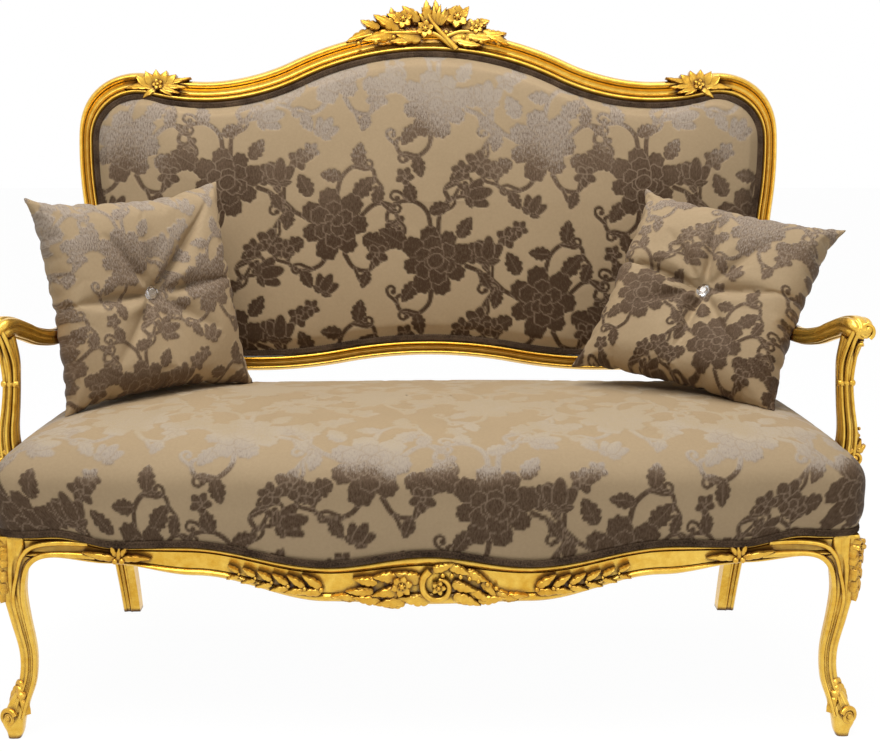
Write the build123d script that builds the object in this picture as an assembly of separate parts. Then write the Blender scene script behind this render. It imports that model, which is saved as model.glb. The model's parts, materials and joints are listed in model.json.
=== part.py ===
from build123d import *
from math import cos, pi, radians, sin, tan
import os

# A carved two-seat settee. Millimetres, +Z up, the sitter faces -Y, and +X is on the viewer's right.
# The pieces are modelled about the middle of the seat, then moved together to stand centred on the origin.

# Seat frame
LEG_SPREAD = 1234        # front leg centres, side to side
SEAT_DEPTH = 510         # front leg centres to the foot of the back
LEG_SIDE = 42            # square block at the top of a front leg
BLOCK_BOTTOM = 266       # underside of that block
FOOT_DROP = 12           # soles of the feet below the datum of these heights
WOOD_TOP = 302           # show wood at the seat corners
RAIL_TOP = 345           # seat rails under the upholstery
REBATE = 9               # set-back of the rails above the show wood
FRONT_BOW = 26           # front rail, in plan
SIDE_BOW = 8             # side rails, in plan
SIDE_RAIL = 34           # side rail thickness
SIDE_BOTTOM = 264        # underside of the side rails
REAR_RAIL = 26           # rear rail thickness
REAR_RAIL_HEIGHT = 60
REAR_RAIL_INSET = 6      # rear rail behind the foot of the back
RAIL_ROLL = 4            # height of the rolls on the seat rails
TENON = 24               # tenon length
LEG_TENON = 15           # tenons of the seat rails in a front leg
TENON_THICK = 12
TENON_HEIGHT = 26
BRACE = 44               # centre brace, width
BRACE_DEPTH = 40         # centre brace, height
BRACE_DROP = 8           # brace and corner blocks below the webbing, so that the seat can sink
BLOCK_LEG = 78           # corner block, along each rail
BLOCK_HEIGHT = 46
GLUE = 0.15              # glue line between two wooden pieces
FIT = 0.3                # space between a soft piece and what it lies against
RAIL_ROOM = 2.1          # space between the padding and the rebated rails, at the seat's round corners

# Turning points of the front rail's two edges: share of the half length, height below the corners' show wood
APRON_TOP = ((0, 23), (0.25, 39), (0.60, 10), (0.765, 13), (0.92, -3), (1, 0))
APRON_BOTTOM = ((0, 97), (0.25, 93), (0.575, 55), (0.79, 39), (0.94, 31), (1, 31))
APRON_STEPS = 28

# Front legs: share of the height under the block, outward drift on the diagonal, section side
CABRIOLE = (
    (0.90, 1, 38), (0.80, 0, 33), (0.66, -5, 30), (0.46, -13, 26), (0.30, -11, 26), (0.19, 0, 31),
    (0.105, 7, 34), (0.035, 6, 25), (0, 7, 19),
)

# Back
RAKE = 10                # backward lean
BACK_Z = 450             # foot of the back plane
SIGHT_WIDTH = 1206       # upholstered panel, at its widest
SIGHT_TOP = 582          # panel's crown above the foot of the back, along the lean
SIGHT_BOTTOM = 60        # panel's lower edge at the middle
CROWN_SLOPE = 25.9       # steepest slope beside the crown
DIP_R = 400              # hollow between crown and shoulder
SHOULDER_SLOPE = 14.4
SHOULDER_R = 80
STILE_LEAN = 9           # stiles lean in below the shoulder
STILE_UPPER_R = 720
STILE_LOWER_R = 1150
LOWER_CORNER_R = 42
LOWER_SLOPE = 10.3
LOWER_R = 866
CREST_WIDTH = 40
STILE_WIDTH = 27
LOWER_WIDTH = 25
BACK_DEPTH = 44          # crest and stiles, front to back
LOWER_DEPTH = 38
BEAD = 7                 # height of the show-wood roll
EASE = 6                 # eased rear edge
TACK_LEDGE = 13          # ledge that carries the webbing, inside the panel's edge
LEDGE_FRONT = 14         # depth of the front rebate
LEDGE_BACK = 28          # start of the rear rebate
REAR_SPLAY = 55          # rear feet behind the foot of the back
REAR_LEG_TOP = 270
REAR_LEG_IN = 26         # rear feet inside the line of the stiles
REAR_FOOT_IN = 12        # rear foot, from the line of the stile's inner edge
REAR_FOOT_OUT = 18
REAR_FOOT_DEPTH = 28

# Arms
ARM_SETBACK = 150        # arm support behind the front leg
ARM_HEIGHT = 594         # hand-hold centre
ARM_REACH = 36           # hand-hold outside the leg centre
ARM_JOIN = 606           # arm's centre at the stile
ARM_DIP = 36             # arm's lowest stretch under the hand-hold
ARM_SIDE = 28            # arm's section between hand-hold and stile

# Upholstery
SEAT_HEIGHT = 458
SEAT_CORNER_R = 44
SEAT_REAR_R = 26
SEAT_ROLL = ((0, -9), (0.42, -7), (0.69, 20), (0.85, 62), (0.95, 128), (1, 215))  # share of the rise, inset
SEAT_STEPS = (12, 4, 4, 2)  # facets along the front, a front corner, a side and a rear corner
COVER = 2                # cover with its lining
WEB_WIDTH = 50
WEB_PITCH = 100
WEB = 1.4
HESSIAN = 1
GIMP_HEIGHT = 11
GIMP = 2.4
BACK_CROWN = 30          # back panel's dome in front of the show wood
BACK_ROLL = ((0.02, 0.5), (0.14, 10), (0.42, 22), (0.66, 40), (0.87, 100), (1, 180))  # share of the dome, inset
BACK_EDGE = 22           # width of the roll that runs parallel to the edge
BACK_RIDGE = 360         # half the level line that the rest of the dome runs to
BACK_RIDGE_V = 305
PANEL_STEPS = (5, 5, 6, 2, 2, 1, 3, 1, 3, 3)  # facets along each stretch of the panel's edge
DUST_COVER = 1
PANEL = 4                # outside back panel

# Scatter cushions: centre, then yaw, backward tilt and roll
PILLOW = 352             # corner to corner along a side
PILLOW_THICK = 128
PILLOW_WAIST = 15        # sides drawn in at the middle
PILLOW_CROWN = ((0.26, 0.955), (0.55, 0.85), (0.78, 0.68), (0.93, 0.46), (1, 0.2))  # rise, share of outline
PILLOW_STEPS = 4         # facets along a side
TUFT_R = 46
TUFT_DEPTH = 40
CRYSTAL_R = 8
LEFT_PILLOW = ((-472, 66, 616), (40, 14, 2))
RIGHT_PILLOW = ((466, 92, 608), (-24, 34, -11))

# Carving: leaves as (across, up, direction in degrees, length, width)
LEAF_HEIGHT = 13
LEAF_SINK = 7            # root of a leaf inside the wood
CREST_SPRAY_SINK = 14    # back of the crest's spray behind the back plane
CREST_SPRAY_DEPTH = 24
SCROLL_X = 14            # C-scroll on the apron
SCROLL_Z = 234
SCROLL_R = 26
SUPPORT_SWELL = 44       # outer side of the arm support's foot, outside the leg centre
CREST_SPRAY = (
    (-20, 610, 172, 70, 24), (-60, 620, 190, 80, 20), (-45, 628, 160, 60, 24), (-85, 627, 200, 62, 16),
    (-30, 638, 140, 42, 22), (-58, 636, 118, 28, 18), (38, 588, 124, 84, 15), (4, 636, 102, 36, 22),
    (16, 636, 72, 36, 22), (-8, 634, 132, 38, 20), (28, 634, 44, 36, 20), (18, 622, 10, 72, 26),
    (58, 630, -14, 72, 22), (68, 618, -24, 80, 18), (46, 636, 28, 36, 20), (76, 632, 58, 26, 18),
    (52, 604, -12, 64, 22),
)
SHOULDER_FAN = (
    (484, 514, 96, 50, 20), (478, 514, 120, 48, 18), (490, 514, 70, 46, 18), (472, 512, 150, 48, 17),
    (496, 514, 40, 44, 17), (468, 510, 172, 66, 15), (500, 512, 4, 56, 15),
)
APRON_SPRAY = (
    (6, 212, 177, 58, 18), (-44, 212, 180, 42, 16), (-80, 214, 174, 42, 14), (-112, 217, 166, 38, 11),
    (-12, 240, 168, 44, 20), (-48, 243, 172, 40, 18), (-44, 228, 184, 44, 16), (4, 258, 12, 36, 15),
    (34, 262, -18, 36, 15), (62, 252, -36, 36, 15), (84, 234, -40, 34, 14), (36, 220, -12, 44, 17),
    (72, 214, 2, 42, 15), (106, 217, 12, 42, 12), (30, 236, -20, 40, 16),
)
APRON_GARLAND = (
    (162, 228, 15, 38, 14), (192, 235, 15, 38, 14), (222, 243, 14, 38, 12), (252, 250, 12, 38, 9),
)
KNEE_DROP = (
    (0, 296, 0, 52, 24), (-7, 288, 8, 40, 16), (7, 288, -8, 40, 16), (0, 262, 0, 46, 18), (0, 234, 0, 44, 13),
)
ARM_LEAF = ((0, 386, 0, 62, 24), (-8, 388, 24, 42, 16), (8, 388, -24, 42, 16), (0, 396, 180, 40, 18))

LEG_X = LEG_SPREAD / 2
LEG_Y = -SEAT_DEPTH / 2
BACK_Y = SEAT_DEPTH / 2
FRONT_HALF = LEG_X - LEG_SIDE / 2
OUTER_X = LEG_X + LEG_SIDE / 2
FRONT_Y = LEG_Y - LEG_SIDE / 2
RAIL_BACK_Y = LEG_Y + LEG_SIDE / 2
REAR_RAIL_Y = BACK_Y + REAR_RAIL_INSET
REAR_Y = REAR_RAIL_Y + REAR_RAIL
SUPPORT_Y = LEG_Y + ARM_SETBACK
WEB_LOW = RAIL_TOP + GLUE
WEB_HIGH = WEB_LOW + WEB
HESSIAN_Z = WEB_HIGH + WEB + GLUE
STUFFING_Z = HESSIAN_Z + HESSIAN + GLUE
BACK_STUFFING = 2 * (WEB + GLUE) - LEDGE_FRONT
FAR = LEG_SPREAD         # reach of the cutting shapes
FLAT = 1e-7              # twist of a facet that still counts as flat
LEAN = radians(RAKE)
BACK = Plane((0, BACK_Y, BACK_Z), x_dir=(1, 0, 0), z_dir=(0, -cos(LEAN), sin(LEAN)))
PARTS = {}


def versine(angle):
    return 1 - cos(radians(angle))


# The edge of the upholstered back panel, which the back's show wood follows
CROWN_R = (
    SIGHT_WIDTH / 2 - SHOULDER_R - (DIP_R + SHOULDER_R) * sin(radians(SHOULDER_SLOPE))
) / sin(radians(CROWN_SLOPE)) - DIP_R
STILE_TOP = (
    SIGHT_TOP
    - (CROWN_R + DIP_R) * versine(CROWN_SLOPE)
    + (DIP_R + SHOULDER_R) * versine(SHOULDER_SLOPE)
    - SHOULDER_R
)
STILE_X = SIGHT_WIDTH / 2 - (STILE_UPPER_R + STILE_LOWER_R) * versine(STILE_LEAN)
STILE_END = STILE_TOP - (STILE_UPPER_R + STILE_LOWER_R) * sin(radians(STILE_LEAN))
LOWER_V = SIGHT_BOTTOM - 2 * LOWER_R * versine(LOWER_SLOPE)
REAR_X = STILE_X + STILE_WIDTH
POST_IN = STILE_X - TACK_LEDGE
POST_BEND = (REAR_SPLAY + BACK_Z * tan(LEAN)) / BACK_Z**2
POST_FRONT = BACK_Y - tan(LEAN) ** 2 / (4 * POST_BEND) - BEAD


def largest(shape):
    return max(shape.solids(), key=lambda solid: solid.volume)


def facet(*corners):
    return Face(Wire.make_polygon(corners, close=True))


def ruled(rings):
    """Solid of flat facets through rings of points, closed at both ends."""
    faces = [facet(*rings[0]), facet(*rings[-1])]
    for low, high in zip(rings, rings[1:]):
        for a, b, c, d in zip(low, low[1:] + low[:1], high[1:] + high[:1], high):
            twist = (b - a).cross(d - a).normalized().dot(c - a)
            faces += [facet(a, b, c, d)] if abs(twist) < FLAT else [facet(a, b, c), facet(a, c, d)]
    return Solid(Shell(faces))


def ring(at, points):
    """Points of a section, set on a plane."""
    return [at.from_local_coords(Vector(*point)) for point in points]


def both_sides(name, right):
    PARTS["right_" + name] = right
    PARTS["left_" + name] = mirror(right, about=Plane.YZ)


def span(low, high):
    """Box between two corners."""
    sizes = [b - a for a, b in zip(low, high)]
    return Pos(*low) * Box(*sizes, align=(Align.MIN, Align.MIN, Align.MIN))


def outline(points):
    return make_face(Polyline(*points, close=True))


def chain(start, heading, steps):
    """Tangent arcs (radius, turn in degrees); a step with no turn is a straight run of that length."""
    edges = []
    start, heading = Vector(start), Vector(heading)
    for size, turn in steps:
        edge = JernArc(start, heading, size, turn) if turn else Line(start, start + heading * size)
        edges.append(edge)
        start, heading = edge @ 1, edge % 1
    return edges


def sight_line(inset=0):
    """Right half of the panel's edge, clockwise from the crown to the middle of the lower edge."""
    straight = STILE_END - LOWER_V - LOWER_CORNER_R
    level = STILE_X - LOWER_CORNER_R - 2 * LOWER_R * sin(radians(LOWER_SLOPE))
    return chain(
        (0, SIGHT_TOP - inset),
        (1, 0),
        (
            (CROWN_R - inset, -CROWN_SLOPE),
            (DIP_R + inset, CROWN_SLOPE + SHOULDER_SLOPE),
            (SHOULDER_R - inset, -90 - SHOULDER_SLOPE),
            (STILE_UPPER_R - inset, -STILE_LEAN),
            (STILE_LOWER_R + inset, STILE_LEAN),
            (straight, 0),
            (LOWER_CORNER_R - inset, -90),
            (level, 0),
            (LOWER_R - inset, -LOWER_SLOPE),
            (LOWER_R + inset, LOWER_SLOPE),
        ),
    )


def panel_points(inset, pull=0):
    """The panel's outline in facets, set in and then pulled towards the level line in its middle."""
    right = [point for point, heading in stations(sight_line(inset), PANEL_STEPS)]
    points = []
    for edge in right + [Vector(-point.X, point.Y) for point in right[-2:0:-1]]:
        aim = Vector(max(-BACK_RIDGE, min(BACK_RIDGE, edge.X)), BACK_RIDGE_V)
        point = edge + (aim - edge).normalized() * pull
        points.append((point.X, point.Y))
    return points


def panel_prism(low, high, inset=0):
    """The panel's outline from one depth to another, measured in front of the back plane."""
    return extrude(BACK.offset(low) * outline(panel_points(inset)), amount=high - low, dir=BACK.z_dir)


# Show wood of the back


def stations(edges, counts):
    """Points and headings along a chain of edges, both ends included."""
    found = [(edges[0] @ 0, edges[0] % 0)]
    for edge, count in zip(edges, counts):
        found += [(edge @ (i / count), edge % (i / count)) for i in range(1, count + 1)]
    return found


def mirrored(right):
    """The same stations on the left, without one on the middle line."""
    return [(Vector(-p.X, p.Y), Vector(t.X, -t.Y)) for p, t in right if abs(p.X) > GLUE]


def across_back(point, heading):
    """Plane across the back's show wood: x away from the panel, y to the front."""
    outward = BACK.x_dir * -heading.Y + BACK.y_dir * heading.X
    run = BACK.x_dir * heading.X + BACK.y_dir * heading.Y
    return Plane(BACK.from_local_coords(point), x_dir=outward, z_dir=run)


def roll(start, end, height, facets):
    """A roll between two points of a section, or a cove if the height is below zero; without its start."""
    (x0, y0), (x1, y1) = start, end
    turns = [i / facets for i in range(1, facets + 1)]
    return [(x0 + (x1 - x0) * t, y0 + (y1 - y0) * t + height * sin(pi * t)) for t in turns]


def show_wood(at, width, depth, inward, bead):
    """Moulded section: a roll at each edge of the face and a cove between them."""
    inner, outer, low = 0.3 * width, 0.62 * width, 0.1 * bead
    points = [(-inward, -depth), (-inward, 0), (0, 0)]
    points += roll((0, 0), (inner, low), bead, 4)
    points += roll((inner, low), (outer, low), -0.6 * bead, 2)
    points += roll((outer, low), (width, -bead), 1.3 * bead, 4)
    points += [(width, EASE - depth), (width - EASE, -depth)]
    return ring(at, points)


def rebated(member):
    """Cuts the recesses for the upholstered panel and for the outside back."""
    front = panel_prism(-LEDGE_FRONT, 3 * BEAD, -FIT)
    rear = panel_prism(-2 * BACK_DEPTH, -LEDGE_BACK, -FIT)
    return largest(member - front - rear)


def crest_tenon(side, gap=0):
    """Tenon on top of a back post, or its mortise in the crest rail."""
    middle = side * (SIGHT_WIDTH / 2 + STILE_WIDTH / 2)
    size = Rectangle(TENON_THICK + 2 * gap, 2 * TENON + 2 * gap)
    low = -(LEDGE_FRONT + LEDGE_BACK) / 2 - TENON_THICK / 2 - gap
    return extrude(
        BACK.offset(low) * Pos(middle, STILE_TOP) * size, amount=TENON_THICK + 2 * gap, dir=BACK.z_dir
    )


def crest_rail():
    right = stations(sight_line()[:3], PANEL_STEPS[:3])
    sections = []
    for point, heading in mirrored(right)[::-1] + right:
        share = min(1, max(0, (point.Y - STILE_TOP) / SHOULDER_R))
        width = STILE_WIDTH + (CREST_WIDTH - STILE_WIDTH) * share
        sections.append(show_wood(across_back(point, heading), width, BACK_DEPTH, TACK_LEDGE, BEAD))
    rail = rebated(ruled(sections))
    return rail - crest_tenon(1, GLUE) - crest_tenon(-1, GLUE)


def post_face(z):
    """Front of a back post below the back, which bends from the lean into the splay of the foot."""
    drop = z - BACK_Z
    return BACK_Y + tan(LEAN) * drop + POST_BEND * drop**2


def back_post():
    """Right-hand stile and rear leg, sawn from one plank."""
    edges = sight_line()[3:5]
    edges.append(Line(edges[-1] @ 1, (STILE_X, 0)))
    sections = []
    for point, heading in stations(edges, PANEL_STEPS[3:5] + (2,)):
        sections.append(show_wood(across_back(point, heading), STILE_WIDTH, BACK_DEPTH, TACK_LEDGE, BEAD))
    length = REAR_LEG_TOP + FOOT_DROP
    heights = [(BACK_Z + RAIL_TOP) / 2, RAIL_TOP] + [REAR_LEG_TOP - length * i / 5 for i in range(6)]
    for z in heights:
        share = max(0, (REAR_LEG_TOP - z) / length)
        x = STILE_X - REAR_LEG_IN * share * (2 - share)
        plane = Plane((x, post_face(z), z), x_dir=(1, 0, 0), z_dir=(0, 0, -1))
        width = STILE_WIDTH + (REAR_FOOT_OUT - STILE_WIDTH) * share
        depth = BACK_DEPTH + (REAR_FOOT_DEPTH - BACK_DEPTH) * share
        inward = TACK_LEDGE + (REAR_FOOT_IN - TACK_LEDGE) * share
        sections.append(show_wood(plane, width, depth, inward, BEAD * (1 - 0.7 * share)))
    return largest(rebated(ruled(sections)) + crest_tenon(1))


def back_lower_rail(posts):
    edges = sight_line()[8:]
    level = Line((STILE_X + EASE, LOWER_V), edges[0] @ 0)
    right = stations([level] + edges, (1,) + PANEL_STEPS[8:])
    sections = []
    for point, heading in right + mirrored(right)[::-1]:
        sections.append(show_wood(across_back(point, heading), LOWER_WIDTH, LOWER_DEPTH, TACK_LEDGE, BEAD))
    rail = ruled(sections)
    fill, root = LOWER_CORNER_R + EASE, 0.15 * LOWER_WIDTH
    for side in (-1, 1):
        corner = Pos(side * (STILE_X - fill / 2), LOWER_V + (fill - root) / 2) * Rectangle(fill, fill + root)
        rail += extrude(BACK.offset(-LEDGE_BACK) * corner, amount=LEDGE_BACK + BEAD / 2, dir=BACK.z_dir)
    rail = rebated(rail)
    for post in posts:
        rail = largest(rail - post)
    return rail


# Seat rails and legs


def wave(turns, share):
    """Drop of an edge that eases from each turning point to the next."""
    share = min(abs(share), 1)
    for (a, start), (b, end) in zip(turns, turns[1:]):
        if share <= b:
            return start + (end - start) * (1 - cos(pi * (share - a) / (b - a))) / 2


def apron_top(x):
    return WOOD_TOP - wave(APRON_TOP, x / FRONT_HALF)


def apron_bottom(x):
    return WOOD_TOP - wave(APRON_BOTTOM, x / FRONT_HALF)


def apron_places():
    return [FRONT_HALF * (2 * i / APRON_STEPS - 1) for i in range(APRON_STEPS + 1)]


def front_face(x):
    return FRONT_Y - FRONT_BOW * (1 - (x / OUTER_X) ** 2)


def side_face(y):
    share = (y - FRONT_Y) / (REAR_Y - FRONT_Y)
    return OUTER_X + (REAR_X - OUTER_X) * share + 4 * SIDE_BOW * share * (1 - share)


def upright_roll(start, end, height, facets):
    """A roll on an upright face: it stands out along x."""
    return [(x, y) for y, x in roll(start[::-1], end[::-1], height, facets)]


def rail_section(at, thick, top, bottom):
    """Seat rail: show wood below, and a rebated upper part that the upholstery covers. x runs inward."""
    high = top - 0.26 * (top - bottom)
    low = bottom + 0.28 * (top - bottom)
    points = [(REBATE, RAIL_TOP), (REBATE, top), (0.75 * RAIL_ROLL, top)]
    points += upright_roll((0.75 * RAIL_ROLL, top), (RAIL_ROLL, high), -RAIL_ROLL, 3)
    points += upright_roll((RAIL_ROLL, high), (RAIL_ROLL, low), RAIL_ROLL, 3)
    points += upright_roll((RAIL_ROLL, low), (1.5 * RAIL_ROLL, bottom), -1.1 * RAIL_ROLL, 4)
    points += [(thick, bottom), (thick, RAIL_TOP)]
    return ring(at, points)


def front_tenon(gap=0):
    """Tenon of the front rail in the right-hand leg."""
    z = (WOOD_TOP + RAIL_TOP) / 2 - TENON_HEIGHT / 2
    return span(
        (FRONT_HALF - TENON, LEG_Y - TENON_THICK / 2 - gap, z - gap),
        (FRONT_HALF + LEG_TENON + gap, LEG_Y + TENON_THICK / 2 + gap, z + TENON_HEIGHT + gap),
    )


def side_tenon(gap=0):
    """Tenon of the right-hand side rail in the leg, below the front rail's tenon."""
    top = (WOOD_TOP + RAIL_TOP) / 2 - TENON_HEIGHT / 2 - RAIL_ROLL
    return span(
        (LEG_X - TENON_THICK / 2 - gap, RAIL_BACK_Y - LEG_TENON - gap, top - TENON_HEIGHT - gap),
        (LEG_X + TENON_THICK / 2 + gap, RAIL_BACK_Y + TENON, top + gap),
    )


def front_rail():
    """Bowed apron with a serpentine lower edge; its rear face is flat."""
    sections = []
    for x in apron_places():
        plane = Plane((x, front_face(x), 0), x_dir=(0, 1, 0), z_dir=(1, 0, 0))
        sections.append(rail_section(plane, RAIL_BACK_Y - front_face(x), apron_top(x), apron_bottom(x)))
    tenon = front_tenon()
    return largest(ruled(sections) + tenon + mirror(tenon, about=Plane.YZ))


def side_rail(post):
    sections = []
    steps = 4
    for i in range(steps + 1):
        y = RAIL_BACK_Y + (BACK_Y - RAIL_BACK_Y) * i / steps
        plane = Plane((side_face(y), y, 0), x_dir=(-1, 0, 0), z_dir=(0, 1, 0))
        sections.append(rail_section(plane, SIDE_RAIL, WOOD_TOP, SIDE_BOTTOM))
    return largest(ruled(sections) + side_tenon() - post)


def rear_rail(posts):
    rail = span((-STILE_X, REAR_RAIL_Y, RAIL_TOP - REAR_RAIL_HEIGHT), (STILE_X, REAR_Y, RAIL_TOP))
    for post in posts:
        rail = largest(rail - post)
    return rail


def soft_square(width, height, corners=12):
    """Square with well rounded corners, as a polygon."""
    points = []
    for i in range(corners):
        turn = 2 * pi * (i + 0.5) / corners
        reach = (abs(cos(turn)) ** 3.4 + abs(sin(turn)) ** 3.4) ** (-1 / 3.4)
        points.append((width / 2 * reach * cos(turn), height / 2 * reach * sin(turn)))
    return points


def front_leg():
    """Right-hand cabriole leg under its square block."""
    half = LEG_SIDE / 2
    block = span((LEG_X - half, LEG_Y - half, BLOCK_BOTTOM), (LEG_X + half, LEG_Y + half, WOOD_TOP))
    stump = span((LEG_X - half, LEG_Y - half, BLOCK_BOTTOM), (LEG_X + half, LEG_Y + half, RAIL_TOP))
    corner = block.edges().filter_by(Axis.Z).sort_by(Axis.Y)[:2].sort_by(Axis.X)[-1]
    block = chamfer(corner, LEG_SIDE / 5)
    stump = stump & seat_prism(BLOCK_BOTTOM, RAIL_TOP, REBATE)
    sections = [ring(Plane((LEG_X, LEG_Y, BLOCK_BOTTOM)), soft_square(LEG_SIDE - GLUE, LEG_SIDE - GLUE))]
    for share, drift, side in CABRIOLE:
        at = Plane((LEG_X + drift, LEG_Y - drift, share * (BLOCK_BOTTOM + FOOT_DROP) - FOOT_DROP))
        sections.append(ring(at, soft_square(side, side)))
    return largest(largest(block + stump + ruled(sections)) - front_tenon(GLUE) - side_tenon(GLUE))


# Arms


def bar(points, grow=0):
    """Rounded bar through (x, y, z, width, height), each section square to the run."""
    sections = []
    places = [Vector(p[:3]) for p in points]
    for i, (x, y, z, width, height) in enumerate(points):
        ahead = places[min(i + 1, len(places) - 1)] - places[max(i - 1, 0)]
        steep = abs(ahead.normalized().Z) > 0.7
        across = Vector(0, 1, 0).cross(ahead) if steep else Vector(0, 0, 1).cross(ahead)
        plane = Plane((x, y, z), x_dir=across, z_dir=ahead)
        sections.append(ring(plane, soft_square(width + 2 * grow, height + 2 * grow)))
    return ruled(sections)


def support_bar(grow=0):
    """Arm support: out round the padded seat, in at the waist and out again under the hand-hold."""
    x, y, rise = LEG_X, SUPPORT_Y, ARM_HEIGHT - WOOD_TOP
    return bar(
        (
            (x + 2, y, WOOD_TOP - 0.08 * rise, 34, 46),
            (x + 19, y, WOOD_TOP + 0.08 * rise, 33, 46),
            (x + 31, y - 1, WOOD_TOP + 0.21 * rise, 31, 45),
            (x + 37, y - 4, WOOD_TOP + 0.34 * rise, 29, 42),
            (x + 37, y - 8, WOOD_TOP + 0.44 * rise, 28, 38),
            (x + 31, y - 15, WOOD_TOP + 0.57 * rise, 25, 34),
            (x + 26, y - 24, WOOD_TOP + 0.70 * rise, 24, 32),
            (x + 25, y - 33, WOOD_TOP + 0.82 * rise, 28, 34),
            (x + ARM_REACH - 5, y - 44, WOOD_TOP + 0.95 * rise, 34, 36),
        ),
        grow,
    )


def arm(post, support):
    """Arm from its scrolled hand-hold to the stile."""
    x, y, join = LEG_X + ARM_REACH, SUPPORT_Y, STILE_X + STILE_WIDTH / 2
    rear = BACK_Y + (ARM_JOIN - BACK_Z) * tan(LEAN)
    rail = bar(
        (
            (x + 3, y - 72, ARM_HEIGHT - 8, 22, 18),
            (x + 3, y - 64, ARM_HEIGHT - 3, 36, 28),
            (x, y - 48, ARM_HEIGHT, 43, 35),
            (x - 6, y - 14, ARM_HEIGHT - 3, 38, 32),
            (x - 18, y + 18, ARM_HEIGHT - 14, ARM_SIDE + 5, ARM_SIDE + 2),
            (x - 32, y + 54, ARM_HEIGHT - 28, ARM_SIDE, ARM_SIDE),
            (x - 48, y + 110, ARM_HEIGHT - ARM_DIP, ARM_SIDE, ARM_SIDE - 2),
            (x - 58, y + 190, ARM_HEIGHT - ARM_DIP + 6, ARM_SIDE, ARM_SIDE - 2),
            (join, rear - 60, ARM_JOIN - 12, ARM_SIDE - 2, ARM_SIDE - 2),
            (join, rear + EASE, ARM_JOIN, ARM_SIDE - 4, ARM_SIDE),
        )
    )
    return largest(largest(rail - post) - support)


# Inner frame


def centre_brace():
    top = RAIL_TOP - BRACE_DROP
    return span((-BRACE / 2, RAIL_BACK_Y + GLUE, top - BRACE_DEPTH), (BRACE / 2, REAR_RAIL_Y - GLUE, top))


def corner_block(plan):
    """Triangular block glued into a corner of the seat frame."""
    base = Pos(0, 0, RAIL_TOP - BRACE_DROP - BLOCK_HEIGHT) * outline(plan)
    return extrude(base, amount=BLOCK_HEIGHT, dir=(0, 0, 1))


def front_block():
    low, margin = RAIL_BACK_Y + GLUE, 4 * FIT
    near = side_face(low) - SIDE_RAIL - margin
    past = side_face(low + BLOCK_LEG) - SIDE_RAIL - margin
    return corner_block(((near, low), (near - BLOCK_LEG, low), (past, low + BLOCK_LEG)))


def rear_block():
    high, post = REAR_RAIL_Y - GLUE, POST_IN - GLUE
    return corner_block(((post, high), (post - BLOCK_LEG, high), (post, high - BLOCK_LEG)))


# Seat upholstery


def eased(start, corner, end, steps):
    """Rounded corner from one point towards another, the end left out."""
    shares = [i / steps for i in range(steps)]
    return [start * (1 - t) ** 2 + corner * (2 * t * (1 - t)) + end * t**2 for t in shares]


def seat_points(inset):
    """Plan of the seat in facets, set in from the face of the rails."""
    along, front_corner, beside, rear_corner = SEAT_STEPS
    radius, rear_r = SEAT_CORNER_R + 0.1 * inset, SEAT_REAR_R + 0.1 * inset
    reach = OUTER_X - inset - radius
    near, far = FRONT_Y + inset + radius, REAR_Y - inset - rear_r
    places = [near + (far - near) * i / beside for i in range(beside + 1)]
    side = [Vector(side_face(y) - inset, y) for y in places]
    front = [Vector(x, front_face(x) + inset) for x in [reach * i / along for i in range(0, along + 1, 2)]]
    rear = Vector(REAR_X - inset - rear_r, REAR_Y - inset)
    right = front[:-1]
    right += eased(front[-1], Vector(OUTER_X - inset, FRONT_Y + inset), side[0], front_corner)
    right += side[:-1]
    right += eased(side[-1], Vector(REAR_X - inset, REAR_Y - inset), rear, rear_corner) + [rear]
    return right + [Vector(-point.X, point.Y) for point in right[:0:-1]]


def seat_prism(low, high, inset):
    return extrude(Pos(0, 0, low) * outline(seat_points(inset)), amount=high - low, dir=(0, 0, 1))


def seat_dome(grow):
    """The padded seat, larger by a thickness all round."""
    rise = SEAT_HEIGHT + grow - RAIL_TOP
    levels = [(SIDE_BOTTOM / 2, 0), (WOOD_TOP, 0)]
    levels += [(RAIL_TOP + share * rise, inset) for share, inset in SEAT_ROLL]
    return ruled([[point + Vector(0, 0, z) for point in seat_points(inset - grow)] for z, inset in levels])


def below_show_wood(rise):
    """Everything below the upper edge of the seat's show wood, raised by an amount."""
    line = [(x, apron_top(x) + rise) for x in apron_places()]
    corners = [(FAR, WOOD_TOP + rise), (FAR, 0), (-FAR, 0), (-FAR, WOOD_TOP + rise)]
    front = extrude(Pos(0, RAIL_BACK_Y, 0) * (Plane.XZ * outline(line + corners)), amount=FAR, dir=(0, -1, 0))
    return front + span((-FAR, RAIL_BACK_Y, 0), (FAR, FAR, WOOD_TOP + rise))


def post_room():
    """Room for the two back posts."""
    right = span((POST_IN - FIT, POST_FRONT - FIT, 0), (FAR, FAR, FAR))
    return right + mirror(right, about=Plane.YZ)


def fitted_to_frame(padding):
    """Cuts padding to the show wood, the rails, the posts and the arm supports."""
    padding -= below_show_wood(FIT)
    padding -= seat_prism(0, STUFFING_Z, REBATE - RAIL_ROOM)
    padding -= span((-FAR, REAR_RAIL_Y - FIT, 0), (FAR, FAR, STUFFING_Z))
    padding -= post_room()
    support = support_bar(FIT)
    for bar_here in (support, mirror(support, about=Plane.YZ)):
        padding = largest(padding - bar_here)
    return padding


def seat_gimp():
    """Braid that covers the tacks along the seat, parted by the arm supports; the front length is first."""
    strip = below_show_wood(FIT + GIMP_HEIGHT) - below_show_wood(FIT)
    strip -= span((-FAR, POST_FRONT - WEB_WIDTH, 0), (FAR, FAR, FAR))
    braid = (seat_dome(FIT + GIMP) - seat_dome(FIT)) & strip
    support = support_bar(FIT)
    braid = braid - support - mirror(support, about=Plane.YZ)
    return braid.solids().sort_by(SortBy.VOLUME)[::-1]


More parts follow.
